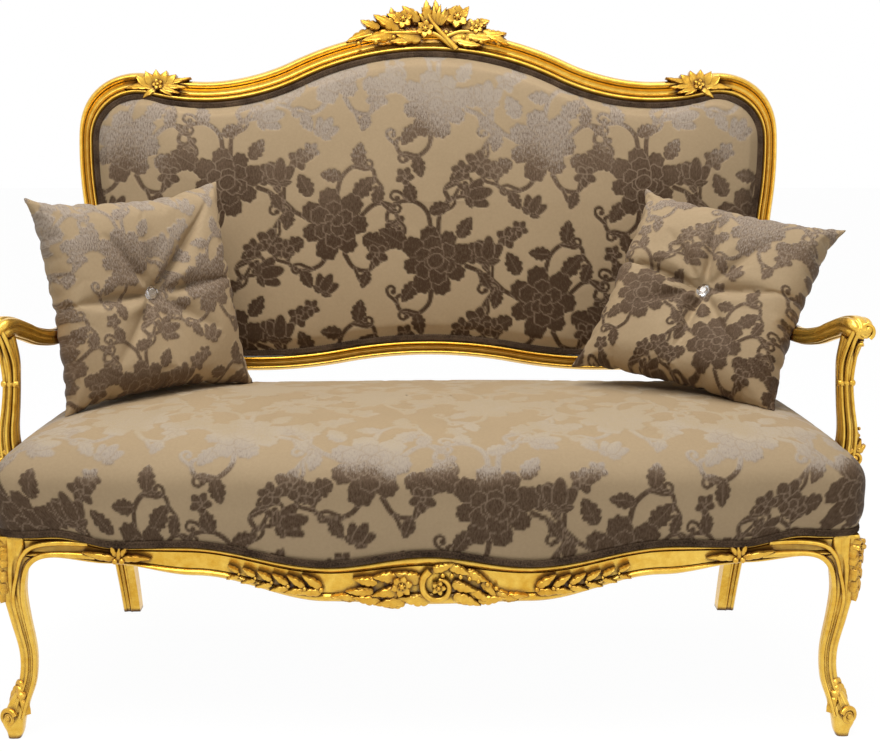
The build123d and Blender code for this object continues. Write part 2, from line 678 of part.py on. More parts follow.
def seat_webbing():
    """Straps from front to back, and the straps across them."""
    straps = []
    count = int(FRONT_HALF / WEB_PITCH)
    for i in range(-count, count + 1):
        x = i * WEB_PITCH
        if abs(x) + WEB_WIDTH / 2 < POST_IN - FIT:
            low, high = FRONT_Y + 2 * REBATE, REAR_Y - REBATE
            straps.append(
                span((x - WEB_WIDTH / 2, low, WEB_LOW), (x + WEB_WIDTH / 2, high, WEB_LOW + WEB))
            )
    rows = int((POST_FRONT - RAIL_BACK_Y) / WEB_PITCH)
    for i in range(rows):
        y = RAIL_BACK_Y + (i + 0.5) * WEB_PITCH
        reach = side_face(y + WEB_WIDTH / 2) - 2 * REBATE
        straps.append(
            span((-reach, y - WEB_WIDTH / 2, WEB_HIGH), (reach, y + WEB_WIDTH / 2, WEB_HIGH + WEB))
        )
    return straps[0].fuse(*straps[1:])


def dust_cover():
    """Cloth under the seat, stretched between the rails below the corner blocks."""
    front = side_face(RAIL_BACK_Y) - SIDE_RAIL - SIDE_BOW / 4
    low, high, post = RAIL_BACK_Y + FIT, REAR_RAIL_Y - FIT, POST_IN - FIT
    right = [(front, low), (post, POST_FRONT), (post, high)]
    plan = outline(right + [(-x, y) for x, y in right[::-1]])
    z = RAIL_TOP - BRACE_DROP - BLOCK_HEIGHT - FIT - DUST_COVER
    return extrude(Pos(0, 0, z) * plan, amount=DUST_COVER, dir=(0, 0, 1))


# Back upholstery


def back_dome(grow):
    """The padded back panel, larger by a thickness to the front and round its edge."""
    rings = [ring(BACK.offset(BACK_STUFFING), panel_points(BACK_ROLL[0][1] - grow))]
    for share, inset in BACK_ROLL:
        edge = min(inset, BACK_EDGE)
        rings.append(ring(BACK.offset(share * BACK_CROWN + grow), panel_points(edge - grow, inset - edge)))
    return ruled(rings)


def gimp_cone(lift, reach):
    """Everything behind a slope that runs along the edge of the back panel, raised by a thickness."""
    (low, outer), (high, inner) = BACK_ROLL[0], BACK_ROLL[1]
    rise = (high - low) * BACK_CROWN / (inner - outer)
    start = low * BACK_CROWN + FIT + lift
    ends = (-reach, GIMP_HEIGHT + reach)
    return ruled([ring(BACK.offset(start + end * rise), panel_points(outer + end)) for end in ends])


def back_gimp():
    """Braid round the back panel, against the show wood."""
    edge = panel_prism(0, 3 * BEAD, BACK_ROLL[0][1])
    middle = panel_prism(0, 4 * BEAD, GIMP_HEIGHT)
    return largest((gimp_cone(GIMP, EASE) & edge) - gimp_cone(0, 2 * EASE) - middle)


def back_webbing():
    """Upright straps on the back's ledge, and the straps across them."""
    straps = []
    low = GLUE - LEDGE_FRONT
    middle = (SIGHT_TOP + LOWER_V) / 2
    uprights = panel_prism(low, low + WEB, 2 * FIT)
    count = int(POST_IN / (2 * WEB_PITCH))
    for i in range(-count, count + 1):
        straps += strap(uprights, i * 2 * WEB_PITCH, middle, WEB_WIDTH, FAR)
    level = panel_prism(low + WEB, low + 2 * WEB, 2 * FIT)
    for i in (-1, 0, 1):
        straps += strap(level, 0, middle + i * 2 * WEB_PITCH, FAR, WEB_WIDTH)
    return straps[0].fuse(*straps[1:])


def strap(sheet, u, v, width, height):
    """One strap cut from a sheet of webbing."""
    cutter = BACK.offset(-BACK_DEPTH) * Pos(u, v) * Rectangle(width, height)
    return (sheet & extrude(cutter, amount=2 * BACK_DEPTH, dir=BACK.z_dir)).solids()


# Scatter cushions


def pillow_plane(pose):
    centre, (yaw, tilt, turn) = pose
    yaw, tilt = radians(yaw), radians(tilt)
    normal = Vector(sin(yaw) * cos(tilt), -cos(yaw) * cos(tilt), sin(tilt))
    return Plane(centre, x_dir=(cos(yaw), sin(yaw), 0), z_dir=normal).rotated((0, 0, turn))


def pillow_points(share):
    """Square cover with pointed ears and drawn-in sides."""
    half = share * PILLOW / 2
    side = [2 * i / PILLOW_STEPS - 1 for i in range(PILLOW_STEPS)]
    edge = [(half * t, -half + share * PILLOW_WAIST * (1 - t * t)) for t in side]
    for quarter in range(3):
        edge += [(-y, x) for x, y in edge[-PILLOW_STEPS:]]
    return edge


def pillow(pose):
    """Stuffed cushion with one tuft at its centre, seated on the seat and against the back."""
    half = PILLOW_THICK / 2
    slices = [(-rise, share) for rise, share in PILLOW_CROWN[::-1]] + [(0, 1)] + list(PILLOW_CROWN)
    body = ruled([ring(Plane((0, 0, rise * half)), pillow_points(share)) for rise, share in slices])
    bottom = half - TUFT_DEPTH
    bell = ((half + FIT, TUFT_R), (bottom + 0.4 * TUFT_DEPTH, 0.5 * TUFT_R), (bottom, CRYSTAL_R + 2))
    body -= ruled([ring(Plane((0, 0, z)), soft_square(2 * r, 2 * r)) for z, r in bell])
    body = pillow_plane(pose) * body
    for neighbour in (seat_dome(FIT), back_dome(FIT)):
        body = largest(body - neighbour)
    return body


def crystal(pose):
    """Cut-glass button at the bottom of the tuft."""
    rise = 0.45 * CRYSTAL_R
    girdle = Pos(0, 0, rise) * RegularPolygon(CRYSTAL_R, 8)
    gem = extrude(girdle, amount=rise, taper=40) + extrude(girdle, amount=-rise, taper=30)
    return pillow_plane(pose) * Pos(0, 0, PILLOW_THICK / 2 - TUFT_DEPTH + FIT) * gem


# Carving: each leaf is (across, up, direction in degrees, length, width)


def leaf(length, width, height):
    """Pointed leaf with sloped sides, rooted at the origin and pointing along x."""
    half = [(0, 0.14), (0.22, 0.42), (0.48, 0.5), (0.76, 0.3), (1, 0.04)]
    edge = [(x * length, y * width) for x, y in half]
    edge += [(x, -y) for x, y in edge[::-1]]
    crown = [(length / 4 + x / 2, y / 2) for x, y in edge]
    return ruled([ring(Plane.XY, edge), ring(Plane((0, 0, height)), crown)])


def spray(leaves, place, height, *others):
    """Leaves and other forms fused into one carving; place gives the plane under a leaf."""
    pieces = list(others)
    for i, (across, up, direction, length, width) in enumerate(leaves):
        rise = height * (1 + 0.12 * (i % 3))
        pieces.append(place(across, up) * Rot(0, 0, direction) * leaf(length, width, rise))
    return largest(pieces[0].fuse(*pieces[1:]))


def on_back(u, v):
    return BACK.offset(-CREST_SPRAY_SINK) * Pos(u, v)


def on_apron(x, z):
    return Plane((x, front_face(x) + LEAF_SINK, z), x_dir=(1, 0, 0), z_dir=(0, -1, 0))


def on_knee(across, z):
    """Plane on the right-hand knee's outer corner; a leaf at 0 degrees points down."""
    reach = LEG_SIDE / 2 - LEAF_SINK
    at = Vector(LEG_X + reach, LEG_Y - reach, z) + Vector(1, 1, 0).normalized() * across
    return Plane(at, x_dir=(0, 0, -1), z_dir=(1, -1, 0))


def on_support(across, z):
    """Plane on the outer side of the right-hand arm support; a leaf at 0 degrees points up."""
    at = (LEG_X + SUPPORT_SWELL, SUPPORT_Y - across, z)
    return Plane(at, x_dir=(0, 0, 1), z_dir=(1, 0, 0))


def apron_scroll():
    """C-scroll at the middle of the apron."""
    points = []
    for i in range(11):
        turn = radians(118 + 30 * i)
        reach = SCROLL_R * (1 - 0.07 * i)
        x, z = SCROLL_X + reach * cos(turn), SCROLL_Z + reach * sin(turn)
        points.append((x, front_face(x), z))
    sections = []
    for i, point in enumerate(points):
        ahead = Vector(points[min(i + 1, 10)]) - Vector(points[max(i - 1, 0)])
        plane = Plane(point, x_dir=(0, -1, 0), z_dir=ahead)
        sections.append(ring(plane, soft_square(2 * LEAF_SINK, 1.5 * LEAF_SINK, 8)))
    return ruled(sections)


# Assembly

right_post = back_post()
left_post = mirror(right_post, about=Plane.YZ)
posts = (right_post, left_post)
both_sides("back_post", right_post)
PARTS["crest_rail"] = crest_rail()
PARTS["back_lower_rail"] = back_lower_rail(posts)
PARTS["front_rail"] = front_rail()
PARTS["rear_rail"] = rear_rail(posts)
right_rail = side_rail(right_post)
right_leg = front_leg()
right_support = largest(support_bar() - right_rail)
both_sides("side_rail", right_rail)
both_sides("front_leg", right_leg)
both_sides("arm_support", right_support)
both_sides("arm", arm(right_post, right_support))
PARTS["centre_brace"] = centre_brace()
both_sides("front_block", front_block())
both_sides("rear_block", rear_block())

PARTS["crest_carving"] = spray(CREST_SPRAY, on_back, CREST_SPRAY_DEPTH)
both_sides("shoulder_carving", spray(SHOULDER_FAN, on_back, CREST_SPRAY_DEPTH))
PARTS["apron_carving"] = spray(APRON_SPRAY, on_apron, LEAF_HEIGHT, apron_scroll())
both_sides("apron_garland", spray(APRON_GARLAND, on_apron, LEAF_HEIGHT))
for carving in ("crest_carving", "left_shoulder_carving", "right_shoulder_carving"):
    PARTS["crest_rail"] = largest(PARTS["crest_rail"] - PARTS[carving])
for carving in ("apron_carving", "left_apron_garland", "right_apron_garland"):
    PARTS["front_rail"] = largest(PARTS["front_rail"] - PARTS[carving])
both_sides("knee_carving", largest(spray(KNEE_DROP, on_knee, LEAF_HEIGHT) - right_leg))
both_sides("arm_leaf", largest(spray(ARM_LEAF, on_support, LEAF_HEIGHT) - right_support - right_rail))

PARTS["seat_webbing"] = seat_webbing()
PARTS["seat_hessian"] = seat_prism(HESSIAN_Z, HESSIAN_Z + HESSIAN, REBATE + FIT) - post_room()
PARTS["seat_stuffing"] = fitted_to_frame(seat_dome(-COVER - FIT))
PARTS["seat_cover"] = fitted_to_frame(seat_dome(0) - seat_dome(-COVER))
front_gimp, *rear_gimps = seat_gimp()
PARTS["front_gimp"] = front_gimp
both_sides("rear_gimp", max(rear_gimps, key=lambda braid: braid.center().X))
PARTS["dust_cover"] = dust_cover()
PARTS["back_webbing"] = back_webbing()
PARTS["back_stuffing"] = back_dome(-COVER - 2 * FIT)
PARTS["back_cover"] = largest(back_dome(0) - back_dome(-COVER))
PARTS["back_gimp"] = back_gimp()
PARTS["outside_back"] = panel_prism(-LEDGE_BACK - GLUE - PANEL, -LEDGE_BACK - GLUE, FIT)
PARTS["left_pillow"] = pillow(LEFT_PILLOW)
PARTS["right_pillow"] = pillow(RIGHT_PILLOW)
PARTS["left_pillow_crystal"] = crystal(LEFT_PILLOW)
PARTS["right_pillow_crystal"] = crystal(RIGHT_PILLOW)

boxes = [shape.bounding_box() for shape in PARTS.values()]
middle_x = (min(box.min.X for box in boxes) + max(box.max.X for box in boxes)) / 2
middle_y = (min(box.min.Y for box in boxes) + max(box.max.Y for box in boxes)) / 2
floor = min(box.min.Z for box in boxes)
os.makedirs("parts", exist_ok=True)
for name, shape in PARTS.items():
    export_step(Pos(-middle_x, -middle_y, -floor) * shape, f"parts/{name}.step")
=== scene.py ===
import json
from math import cos, pi, radians, sin, tan

import bpy
import numpy as np
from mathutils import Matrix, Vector
from mathutils.bvhtree import BVHTree


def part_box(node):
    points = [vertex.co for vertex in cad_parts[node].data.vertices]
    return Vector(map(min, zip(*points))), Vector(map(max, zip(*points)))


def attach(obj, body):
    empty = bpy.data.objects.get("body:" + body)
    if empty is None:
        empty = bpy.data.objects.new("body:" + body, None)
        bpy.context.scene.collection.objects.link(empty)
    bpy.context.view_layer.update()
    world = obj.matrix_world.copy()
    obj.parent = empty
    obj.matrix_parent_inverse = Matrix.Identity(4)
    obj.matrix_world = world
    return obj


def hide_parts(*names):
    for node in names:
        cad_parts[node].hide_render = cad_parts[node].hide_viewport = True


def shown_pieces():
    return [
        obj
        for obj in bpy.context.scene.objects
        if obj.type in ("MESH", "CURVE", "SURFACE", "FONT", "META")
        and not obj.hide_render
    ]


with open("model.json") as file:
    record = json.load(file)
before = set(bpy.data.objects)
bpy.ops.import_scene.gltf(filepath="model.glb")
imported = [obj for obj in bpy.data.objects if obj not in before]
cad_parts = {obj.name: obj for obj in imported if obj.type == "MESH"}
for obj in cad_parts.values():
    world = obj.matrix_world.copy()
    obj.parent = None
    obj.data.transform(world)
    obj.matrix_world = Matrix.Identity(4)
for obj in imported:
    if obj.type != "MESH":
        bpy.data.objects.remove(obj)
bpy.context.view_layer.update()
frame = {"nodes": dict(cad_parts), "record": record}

# Places that come from the frame, in metres
RAIL_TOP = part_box("rear_rail")[1][2]
DATUM = RAIL_TOP - 0.345           # height from which the maker's heights count
REAR_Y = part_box("rear_rail")[1][1]
FOOT_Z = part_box("right_front_leg")[0][2]

# Seat frame
LEG_X = 0.617
LEG_SIDE = 0.042
SEAT_DEPTH = 0.510
BACK_Y = REAR_Y - 0.032
LEG_Y = BACK_Y - SEAT_DEPTH
FRONT_Y = LEG_Y - LEG_SIDE / 2
OUTER_X = LEG_X + LEG_SIDE / 2
FRONT_HALF = LEG_X - LEG_SIDE / 2
RAIL_BACK_Y = LEG_Y + LEG_SIDE / 2
BLOCK_BOTTOM = DATUM + 0.266
WOOD_TOP = DATUM + 0.302
SIDE_BOTTOM = DATUM + 0.264
FRONT_BOW = 0.026
SIDE_BOW = 0.008
SIDE_RAIL = 0.034
RAIL_ROLL = 0.004
APRON_TOP = ((0, 0.023), (0.25, 0.039), (0.60, 0.010), (0.765, 0.013), (0.92, -0.003), (1, 0))
APRON_BOTTOM = ((0, 0.097), (0.25, 0.093), (0.575, 0.055), (0.79, 0.039), (0.94, 0.031), (1, 0.031))
CABRIOLE = (
    (1, 0, 0.042), (0.90, 0.001, 0.038), (0.80, 0, 0.033), (0.66, -0.005, 0.030), (0.46, -0.013, 0.026),
    (0.30, -0.011, 0.026), (0.19, 0, 0.031), (0.105, 0.007, 0.034), (0.035, 0.006, 0.025), (0, 0.007, 0.019),
)
LEG_GROOVES = ((60, 9, 0.13), (108, 6, 0.07), (26, 6, 0.09))  # degrees from the outer corner, width, depth
INNER_RIB = ((0.490, 0.004), (0.535, 0.006), (0.566, 0.004), (0.586, -0.006), (0.597, -0.026))
FRONT_RIB = ((0.500, -0.008), (0.548, -0.008), (0.582, -0.014), (0.600, -0.030), (0.608, -0.056))
RIB_HEIGHTS = (0.78, 0.62, 0.46, 0.32, 0.20, 0.12)
BRACKET = 0.022                    # curve between a front leg and the rails
RAIL_BREAK = 0.455                 # where the apron's scrolls meet, from the middle

# Back
LEAN = radians(10)
BACK_Z = DATUM + 0.450
SIGHT_WIDTH = 1.206
SIGHT_TOP = 0.582
SIGHT_BOTTOM = 0.060
CROWN_SLOPE = 25.9
DIP_R = 0.400
SHOULDER_SLOPE = 14.4
SHOULDER_R = 0.080
STILE_LEAN = 9
STILE_UPPER_R = 0.720
STILE_LOWER_R = 1.150
LOWER_CORNER_R = 0.042
LOWER_SLOPE = 10.3
LOWER_R = 0.866
CREST_WIDTH = 0.040
STILE_WIDTH = 0.027
LOWER_WIDTH = 0.025
BACK_DEPTH = 0.044
LOWER_DEPTH = 0.038
BEAD = 0.007
EASE = 0.006
REAR_SPLAY = 0.055
REAR_LEG_TOP = DATUM + 0.270
REAR_LEG_IN = 0.026
REAR_FOOT_OUT = 0.018
REAR_FOOT_DEPTH = 0.028

# Arms
SUPPORT_Y = LEG_Y + 0.150
ARM_HEIGHT = DATUM + 0.594
ARM_REACH = 0.036
ARM_JOIN = DATUM + 0.606
ARM_DIP = 0.036
ARM_SIDE = 0.028

# Upholstery
SEAT_HEIGHT = DATUM + 0.458
SEAT_CORNER_R = 0.044
SEAT_REACH = 0.295                 # from the edge of the seat to its ridge line
SEAT_ROLL = ((0, -0.009), (0.42, -0.007), (0.69, 0.020), (0.85, 0.062), (0.95, 0.128), (1, 0.215))
BACK_CROWN = 0.030
BACK_SHIFT = (0.083, -0.052)       # where the damask starts on the back
BACK_ROLL = (
    (0.02, 0.0005), (0.14, 0.010), (0.42, 0.022), (0.62, 0.034), (0.80, 0.075), (0.93, 0.140), (1, 0.230),
)
GIMP_HEIGHT = 0.010
GIMP_TWIST = 0.0085                # length in which the braid's strands cross over and back
# Painted sheen and shade on the velvet, set out by how light falls on each part, as how the pile lies (0
# toward the viewer, pale; 1 standing up, dark): places, then values
SEAT_PAINTED_SHEEN_SHADE = ((0, 0.40, 0.62, 0.80, 0.95), (0.90, 0.86, 0.50, 0.40, 0.04))
BACK_PAINTED_SHEEN_SHADE = ((0.20, 0.33, 0.44, 0.56), (1, 0.88, 0.58, 0.44))
PILLOW_PAINTED_SHEEN_AT = (-0.12, 0.02, 0.15)
RIDGE_X, RIDGE_V = 0.36, 0.305     # line that the back's cloth is laid out from
CLOTH_BACK = 0.0322                # outside of the back, behind the back's own plane
BACK_BULGE = 0.0025
BACK_WELT = 0.0028
HEM = 0.004
DUST_SAG = 0.004
PILLOW = 0.352
PILLOW_THICK = 0.128
PILLOW_WAIST = 0.001
PILLOW_START = 0.72                # share of the thickness before the cover is stuffed
PILLOW_CUT = 1.02                  # the cover is cut larger, because stuffing draws its sides in
TUFT_R = 0.034
TUFT_DEPTH = 0.044
COVER_GRAIN = 0.0042               # mesh size of a cushion's cover while it is stuffed
STUFF_FRAMES = 20
STUFF_MOST = 0.022                 # no point of the cover moves further than this
STUFFING = {                       # settings of the cloth simulation
    "quality": 5, "mass": 0.25, "use_pressure": True, "uniform_pressure_force": 4.0, "tension_stiffness": 14,
    "compression_stiffness": 14, "shear_stiffness": 5, "bending_stiffness": 0.15, "vertex_group_mass": "held",
}
LEFT_CREASES = (                   # direction, length and depth of the creases that run out from the tuft
    (47, 0.150, 0.020), (92, 0.070, 0.012), (128, 0.090, 0.010), (182, 0.120, 0.017), (231, 0.085, 0.012),
    (278, 0.060, 0.011), (322, 0.080, 0.010), (4, 0.120, 0.015),
)
RIGHT_CREASES = (
    (172, 0.150, 0.021), (96, 0.110, 0.017), (136, 0.070, 0.010), (212, 0.070, 0.010), (271, 0.095, 0.018),
    (312, 0.090, 0.010), (8, 0.140, 0.015), (51, 0.080, 0.010),
)
WELT = 0.004                       # how far the seam stands out round a cushion
EAR = 0.05                         # how far each corner is drawn out, as a share of half the side
CLEAR = 0.0012                     # between a cushion and what it rests on
PILLOW_MOTIF = 1.3                 # the cushions' damask is woven smaller than the seat's
RAY_TOP, RAY_FRONT = 1.2, -2.0     # clear above the seat and ahead of the back
CRYSTAL = 0.024
CRYSTAL_SEAT = 0.026               # from the middle of the cushion to the crystal
# Rings of the crystal: turn by this share of a facet, width, rise
CRYSTAL_RINGS = (
    (0.0, 0.62, -0.40), (0.0, 1.0, -0.05), (0.0, 1.0, 0.10), (0.5, 0.72, 0.36), (0.0, 0.40, 0.50),
)
PILLOWS = (                        # side, centre, turns, shift of the cloth, painted sheen and shade of the velvet from low to high, creases
    (
        "left", (-0.472, LEG_Y + 0.321, DATUM + 0.616), (40, 14, 2),
        (0.16, 0.07), (0.78, 0.66, 0.54), LEFT_CREASES,
    ),
    (
        "right", (0.466, LEG_Y + 0.347, DATUM + 0.608), (-24, 34, -11),
        (0.21, 0.20), (0.92, 0.76, 0.60), RIGHT_CREASES,
    ),
)


def versine(angle):
    """Rise of an arc of radius 1 over an angle."""
    return 1 - cos(radians(angle))


CROWN_R = (
    SIGHT_WIDTH / 2 - SHOULDER_R - (DIP_R + SHOULDER_R) * sin(radians(SHOULDER_SLOPE))
) / sin(radians(CROWN_SLOPE)) - DIP_R
STILE_TOP = (
    SIGHT_TOP
    - (CROWN_R + DIP_R) * versine(CROWN_SLOPE)
    + (DIP_R + SHOULDER_R) * versine(SHOULDER_SLOPE)
    - SHOULDER_R
)
STILE_X = SIGHT_WIDTH / 2 - (STILE_UPPER_R + STILE_LOWER_R) * versine(STILE_LEAN)
STILE_END = STILE_TOP - (STILE_UPPER_R + STILE_LOWER_R) * sin(radians(STILE_LEAN))
LOWER_V = SIGHT_BOTTOM - 2 * LOWER_R * versine(LOWER_SLOPE)
REAR_X = STILE_X + STILE_WIDTH


# Mesh tools


def new_piece(name, points, faces, slot, body="frame", replaces=(), smooth_angle=50):
    """Mesh object that rides on a body and stands for the nodes that it replaces."""
    mesh = bpy.data.meshes.new(name)
    mesh.from_pydata([tuple(p) for p in points], [], [tuple(f) for f in faces])
    mesh.update()
    piece = bpy.data.objects.new(name, mesh)
    bpy.context.scene.collection.objects.link(piece)
    mesh.shade_smooth()
    mesh.set_sharp_from_angle(angle=radians(smooth_angle))
    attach(piece, body)
    if replaces:
        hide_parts(*replaces)
    return piece


def tube_faces(rings, around, closed=True):
    """Quads between rings of equal count, and caps where the tube is closed."""
    i, j = np.meshgrid(np.arange(rings - 1), np.arange(around), indexing="ij")
    k = (j + 1) % around
    quads = np.stack([i * around + j, i * around + k, (i + 1) * around + k, (i + 1) * around + j], -1)
    faces = [tuple(quad) for quad in quads.reshape(-1, 4).tolist()]
    if closed:
        faces.append(tuple(range(around))[::-1])
        faces.append(tuple((rings - 1) * around + v for v in range(around)))
    return faces


def grid_quads(rows, columns):
    """Quads of a sheet of points in rows and columns."""
    index = np.arange(rows * columns).reshape(rows, columns)
    return np.stack([index[:-1, :-1], index[1:, :-1], index[1:, 1:], index[:-1, 1:]], -1).reshape(-1, 4)


def coordinates(mesh):
    """Places of a mesh's points."""
    found = np.empty(len(mesh.vertices) * 3)
    mesh.vertices.foreach_get("co", found)
    return found.reshape(-1, 3)


def evaluated(piece):
    """The object as its modifiers leave it."""
    return piece.evaluated_get(bpy.context.evaluated_depsgraph_get())


class Form:
    """Collects points and faces of one carved piece."""

    def __init__(self):
        self.points, self.faces = [], []

    def add(self, points, faces):
        start = len(self.points)
        self.points.extend(np.asarray(points, float).tolist())
        self.faces.extend([tuple(v + start for v in f) for f in faces])

    def tube(self, rings):
        rings = np.asarray(rings, float)
        self.add(rings.reshape(-1, 3), tube_faces(rings.shape[0], rings.shape[1]))

    def mirrored(self):
        other = Form()
        other.add(np.array(self.points) * (-1, 1, 1), [f[::-1] for f in self.faces])
        return other

    def piece(self, name, **options):
        return new_piece(name, self.points, self.faces, **options)


def both_sides(form, name, nodes, slot):
    """The right-hand piece and its mirror image."""
    for side, here in (("right", form), ("left", form.mirrored())):
        here.piece(f"{side}_{name}", slot=slot, replaces=[f"{side}_{node}" for node in nodes])


def smooth_through(points, per_span):
    """Catmull-Rom curve through rows of values."""
    p = np.asarray(points, float)
    p = np.vstack([2 * p[0] - p[1], p, 2 * p[-1] - p[-2]])
    found = []
    for a, b, c, d in zip(p, p[1:], p[2:], p[3:]):
        for t in np.arange(per_span) / per_span:
            bend = (2 * a - 5 * b + 4 * c - d) * t**2
            twist = (3 * b - a - 3 * c + d) * t**3
            found.append(0.5 * (2 * b + (c - a) * t + bend + twist))
    found.append(p[-2])
    return np.array(found)


def tangent_arcs(start, heading, steps, spacing):
    """Points and headings along arcs (radius, turn in degrees); a step with no turn is a straight run."""
    points, headings = [np.array(start, float)], [np.array(heading, float)]
    for size, turn in steps:
        p, t = points[-1], headings[-1]
        angle = abs(radians(turn))
        n = np.array([-t[1], t[0]]) * (1 if turn > 0 else -1)
        count = max(2, round((size * angle if turn else size) / spacing))
        for i in range(1, count + 1):
            a = angle * i / count
            step = size * (sin(a) * t + (1 - cos(a)) * n) if turn else t * size * i / count
            points.append(p + step)
            headings.append(cos(a) * t + sin(a) * n)
    return np.array(points), np.array(headings)


def sight_steps(inset=0):
    """Arcs of the panel's edge, clockwise from the crown to the middle of the lower edge."""
    straight = STILE_END - LOWER_V - LOWER_CORNER_R
    level = STILE_X - LOWER_CORNER_R - 2 * LOWER_R * sin(radians(LOWER_SLOPE))
    return (
        (CROWN_R - inset, -CROWN_SLOPE),
        (DIP_R + inset, CROWN_SLOPE + SHOULDER_SLOPE),
        (SHOULDER_R - inset, -90 - SHOULDER_SLOPE),
        (STILE_UPPER_R - inset, -STILE_LEAN),
        (STILE_LOWER_R + inset, STILE_LEAN),
        (straight, 0),
        (LOWER_CORNER_R - inset, -90),
        (level, 0),
        (LOWER_R - inset, -LOWER_SLOPE),
        (LOWER_R + inset, LOWER_SLOPE),
    )


def on_back(u, v, d):
    """From the back's own plane (across, up, out to the front) to the room."""
    u, v, d = np.broadcast_arrays(u, v, d)
    y = BACK_Y + v * sin(LEAN) - d * cos(LEAN)
    z = BACK_Z + v * cos(LEAN) + d * sin(LEAN)
    return np.stack([u, y, z], -1)


# Show wood


def roll(start, end, height, facets):
    """A roll between two points of a section, or a cove if the height is below zero; start left out."""
    t = np.arange(1, facets + 1) / facets
    (x0, y0), (x1, y1) = start, end
    return np.stack([x0 + (x1 - x0) * t, y0 + (y1 - y0) * t + height * np.sin(pi * t)], -1)


def moulding(width, depth, bead):
    """Section of the back's show wood: fillet, bead, quirk, cove and a wide outer roll."""
    inner, outer, low, quirk = 0.30 * width, 0.60 * width, 0.1 * bead, 0.05 * width
    rows = [[(0, -0.012), (0, 0)]]
    rows.append(roll((0, 0), (inner - quirk, low), bead, 9))
    rows.append([(inner - 0.4 * quirk, -0.12 * bead), (inner, low)])
    rows.append(roll((inner, low), (outer, low + 0.1 * bead), -0.55 * bead, 9))
    rows.append([(outer + 0.3 * quirk, -0.15 * bead), (outer + quirk, low)])
    rows.append(roll((outer + quirk, low), (width, -bead), 1.25 * bead, 11))
    eased = (width - 0.3 * EASE, 0.3 * EASE - depth)
    rows.append([(width, EASE - depth), eased, (width - EASE, -depth), (0, -depth)])
    return np.vstack([np.asarray(row, float) for row in rows])


def swept_on_back(points, headings, widths, depth, bead):
    """Rings of a moulding that follows the panel's edge."""
    rings = []
    for p, t, width in zip(points, headings, widths):
        section = moulding(width, depth, bead)
        out = np.array([-t[1], t[0]])
        plan = p + section[:, :1] * out
        rings.append(on_back(plan[:, 0], plan[:, 1], section[:, 1]))
    return rings


def crest_rail():
    """Serpentine rail that runs over both shoulders."""
    points, headings = tangent_arcs((0, SIGHT_TOP), (1, 0), sight_steps()[:3], 0.006)
    points = np.vstack([(points * (-1, 1))[:0:-1], points])
    headings = np.vstack([(headings * (1, -1))[:0:-1], headings])
    share = np.clip((points[:, 1] - STILE_TOP) / SHOULDER_R, 0, 1)
    widths = STILE_WIDTH + (CREST_WIDTH - STILE_WIDTH) * share * share * (3 - 2 * share)
    form = Form()
    form.tube(swept_on_back(points, headings, widths, BACK_DEPTH, BEAD))
    form.piece("crest_rail_moulding", slot="gilded_wood", replaces=["crest_rail"])


def post_face(z):
    """Front of a rear leg at a height; it leaves the leaning back and splays to the rear."""
    drop = z - BACK_Z
    bend = (REAR_SPLAY + (BACK_Z - DATUM) * tan(LEAN)) / (BACK_Z - DATUM) ** 2
    return BACK_Y + tan(LEAN) * drop + bend * drop**2


def back_posts():
    """Stiles with the rear legs below them."""
    points, headings = tangent_arcs((0, SIGHT_TOP), (1, 0), sight_steps()[:6], 0.008)
    start = int(np.argmin(np.abs(points[:, 1] - STILE_TOP) + (points[:, 0] < STILE_X)))
    points, headings = points[start:], headings[start:]
    ends = np.array([[STILE_X, v] for v in np.linspace(points[-1][1], 0, 12)[1:]])
    points = np.vstack([points, ends])
    headings = np.vstack([headings, np.tile((0, -1), (len(ends), 1))])
    rings = swept_on_back(points, headings, np.full(len(points), STILE_WIDTH), BACK_DEPTH, BEAD)
    for z in np.linspace(BACK_Z - 0.03, FOOT_Z, 60):
        share = max(0, (REAR_LEG_TOP - z) / (REAR_LEG_TOP - FOOT_Z))
        section = moulding(
            STILE_WIDTH + (REAR_FOOT_OUT - STILE_WIDTH) * share,
            BACK_DEPTH + (REAR_FOOT_DEPTH - BACK_DEPTH) * share,
            BEAD * (1 - 0.7 * share),
        )
        inner = section[:, 0] < 1e-6
        section[inner, 0] -= 0.013 * min(1, max(0, (BACK_Z - z) / 0.08))
        x = STILE_X - REAR_LEG_IN * share * (2 - share) + section[:, 0]
        rings.append(np.stack([x, post_face(z) - section[:, 1], np.full(len(section), z)], -1))
    form = Form()
    form.tube(rings)
    both_sides(form, "stile_and_leg", ["back_post"], "gilded_wood")


def back_lower_rail():
    """Rail below the padded back, between the stiles."""
    points, headings = tangent_arcs((0, SIGHT_TOP), (1, 0), sight_steps(), 0.007)
    first = int(np.argmax((points[:, 1] < STILE_END) & (points[:, 0] < STILE_X - 1e-5)))
    points, headings = points[first:], headings[first:]
    points = np.vstack([points, (points * (-1, 1))[-2::-1]])
    headings = np.vstack([headings, (headings * (1, -1))[-2::-1]])
    corner = np.clip((np.abs(points[:, 0]) - STILE_X + LOWER_CORNER_R) / LOWER_CORNER_R, 0, 1)
    widths = LOWER_WIDTH - 0.008 * corner
    form = Form()
    form.tube(swept_on_back(points, headings, widths, LOWER_DEPTH, BEAD))
    form.piece("back_lower_moulding", slot="gilded_wood", replaces=["back_lower_rail"])


def wave(turns, share):
    """Drop of an edge that eases from each turning point to the next."""
    share = np.minimum(np.abs(share), 1)
    drop = np.zeros_like(share)
    for (a, start), (b, end) in zip(turns, turns[1:]):
        here = (share >= a) & (share <= b)
        drop = np.where(here, start + (end - start) * (1 - np.cos(pi * (share - a) / (b - a))) / 2, drop)
    return drop


def apron_top(x):
    """Height of the front rail's upper edge."""
    return WOOD_TOP - wave(APRON_TOP, np.asarray(x, float) / FRONT_HALF)


def apron_bottom(x):
    """Height of the front rail's lower edge."""
    return WOOD_TOP - wave(APRON_BOTTOM, np.asarray(x, float) / FRONT_HALF)


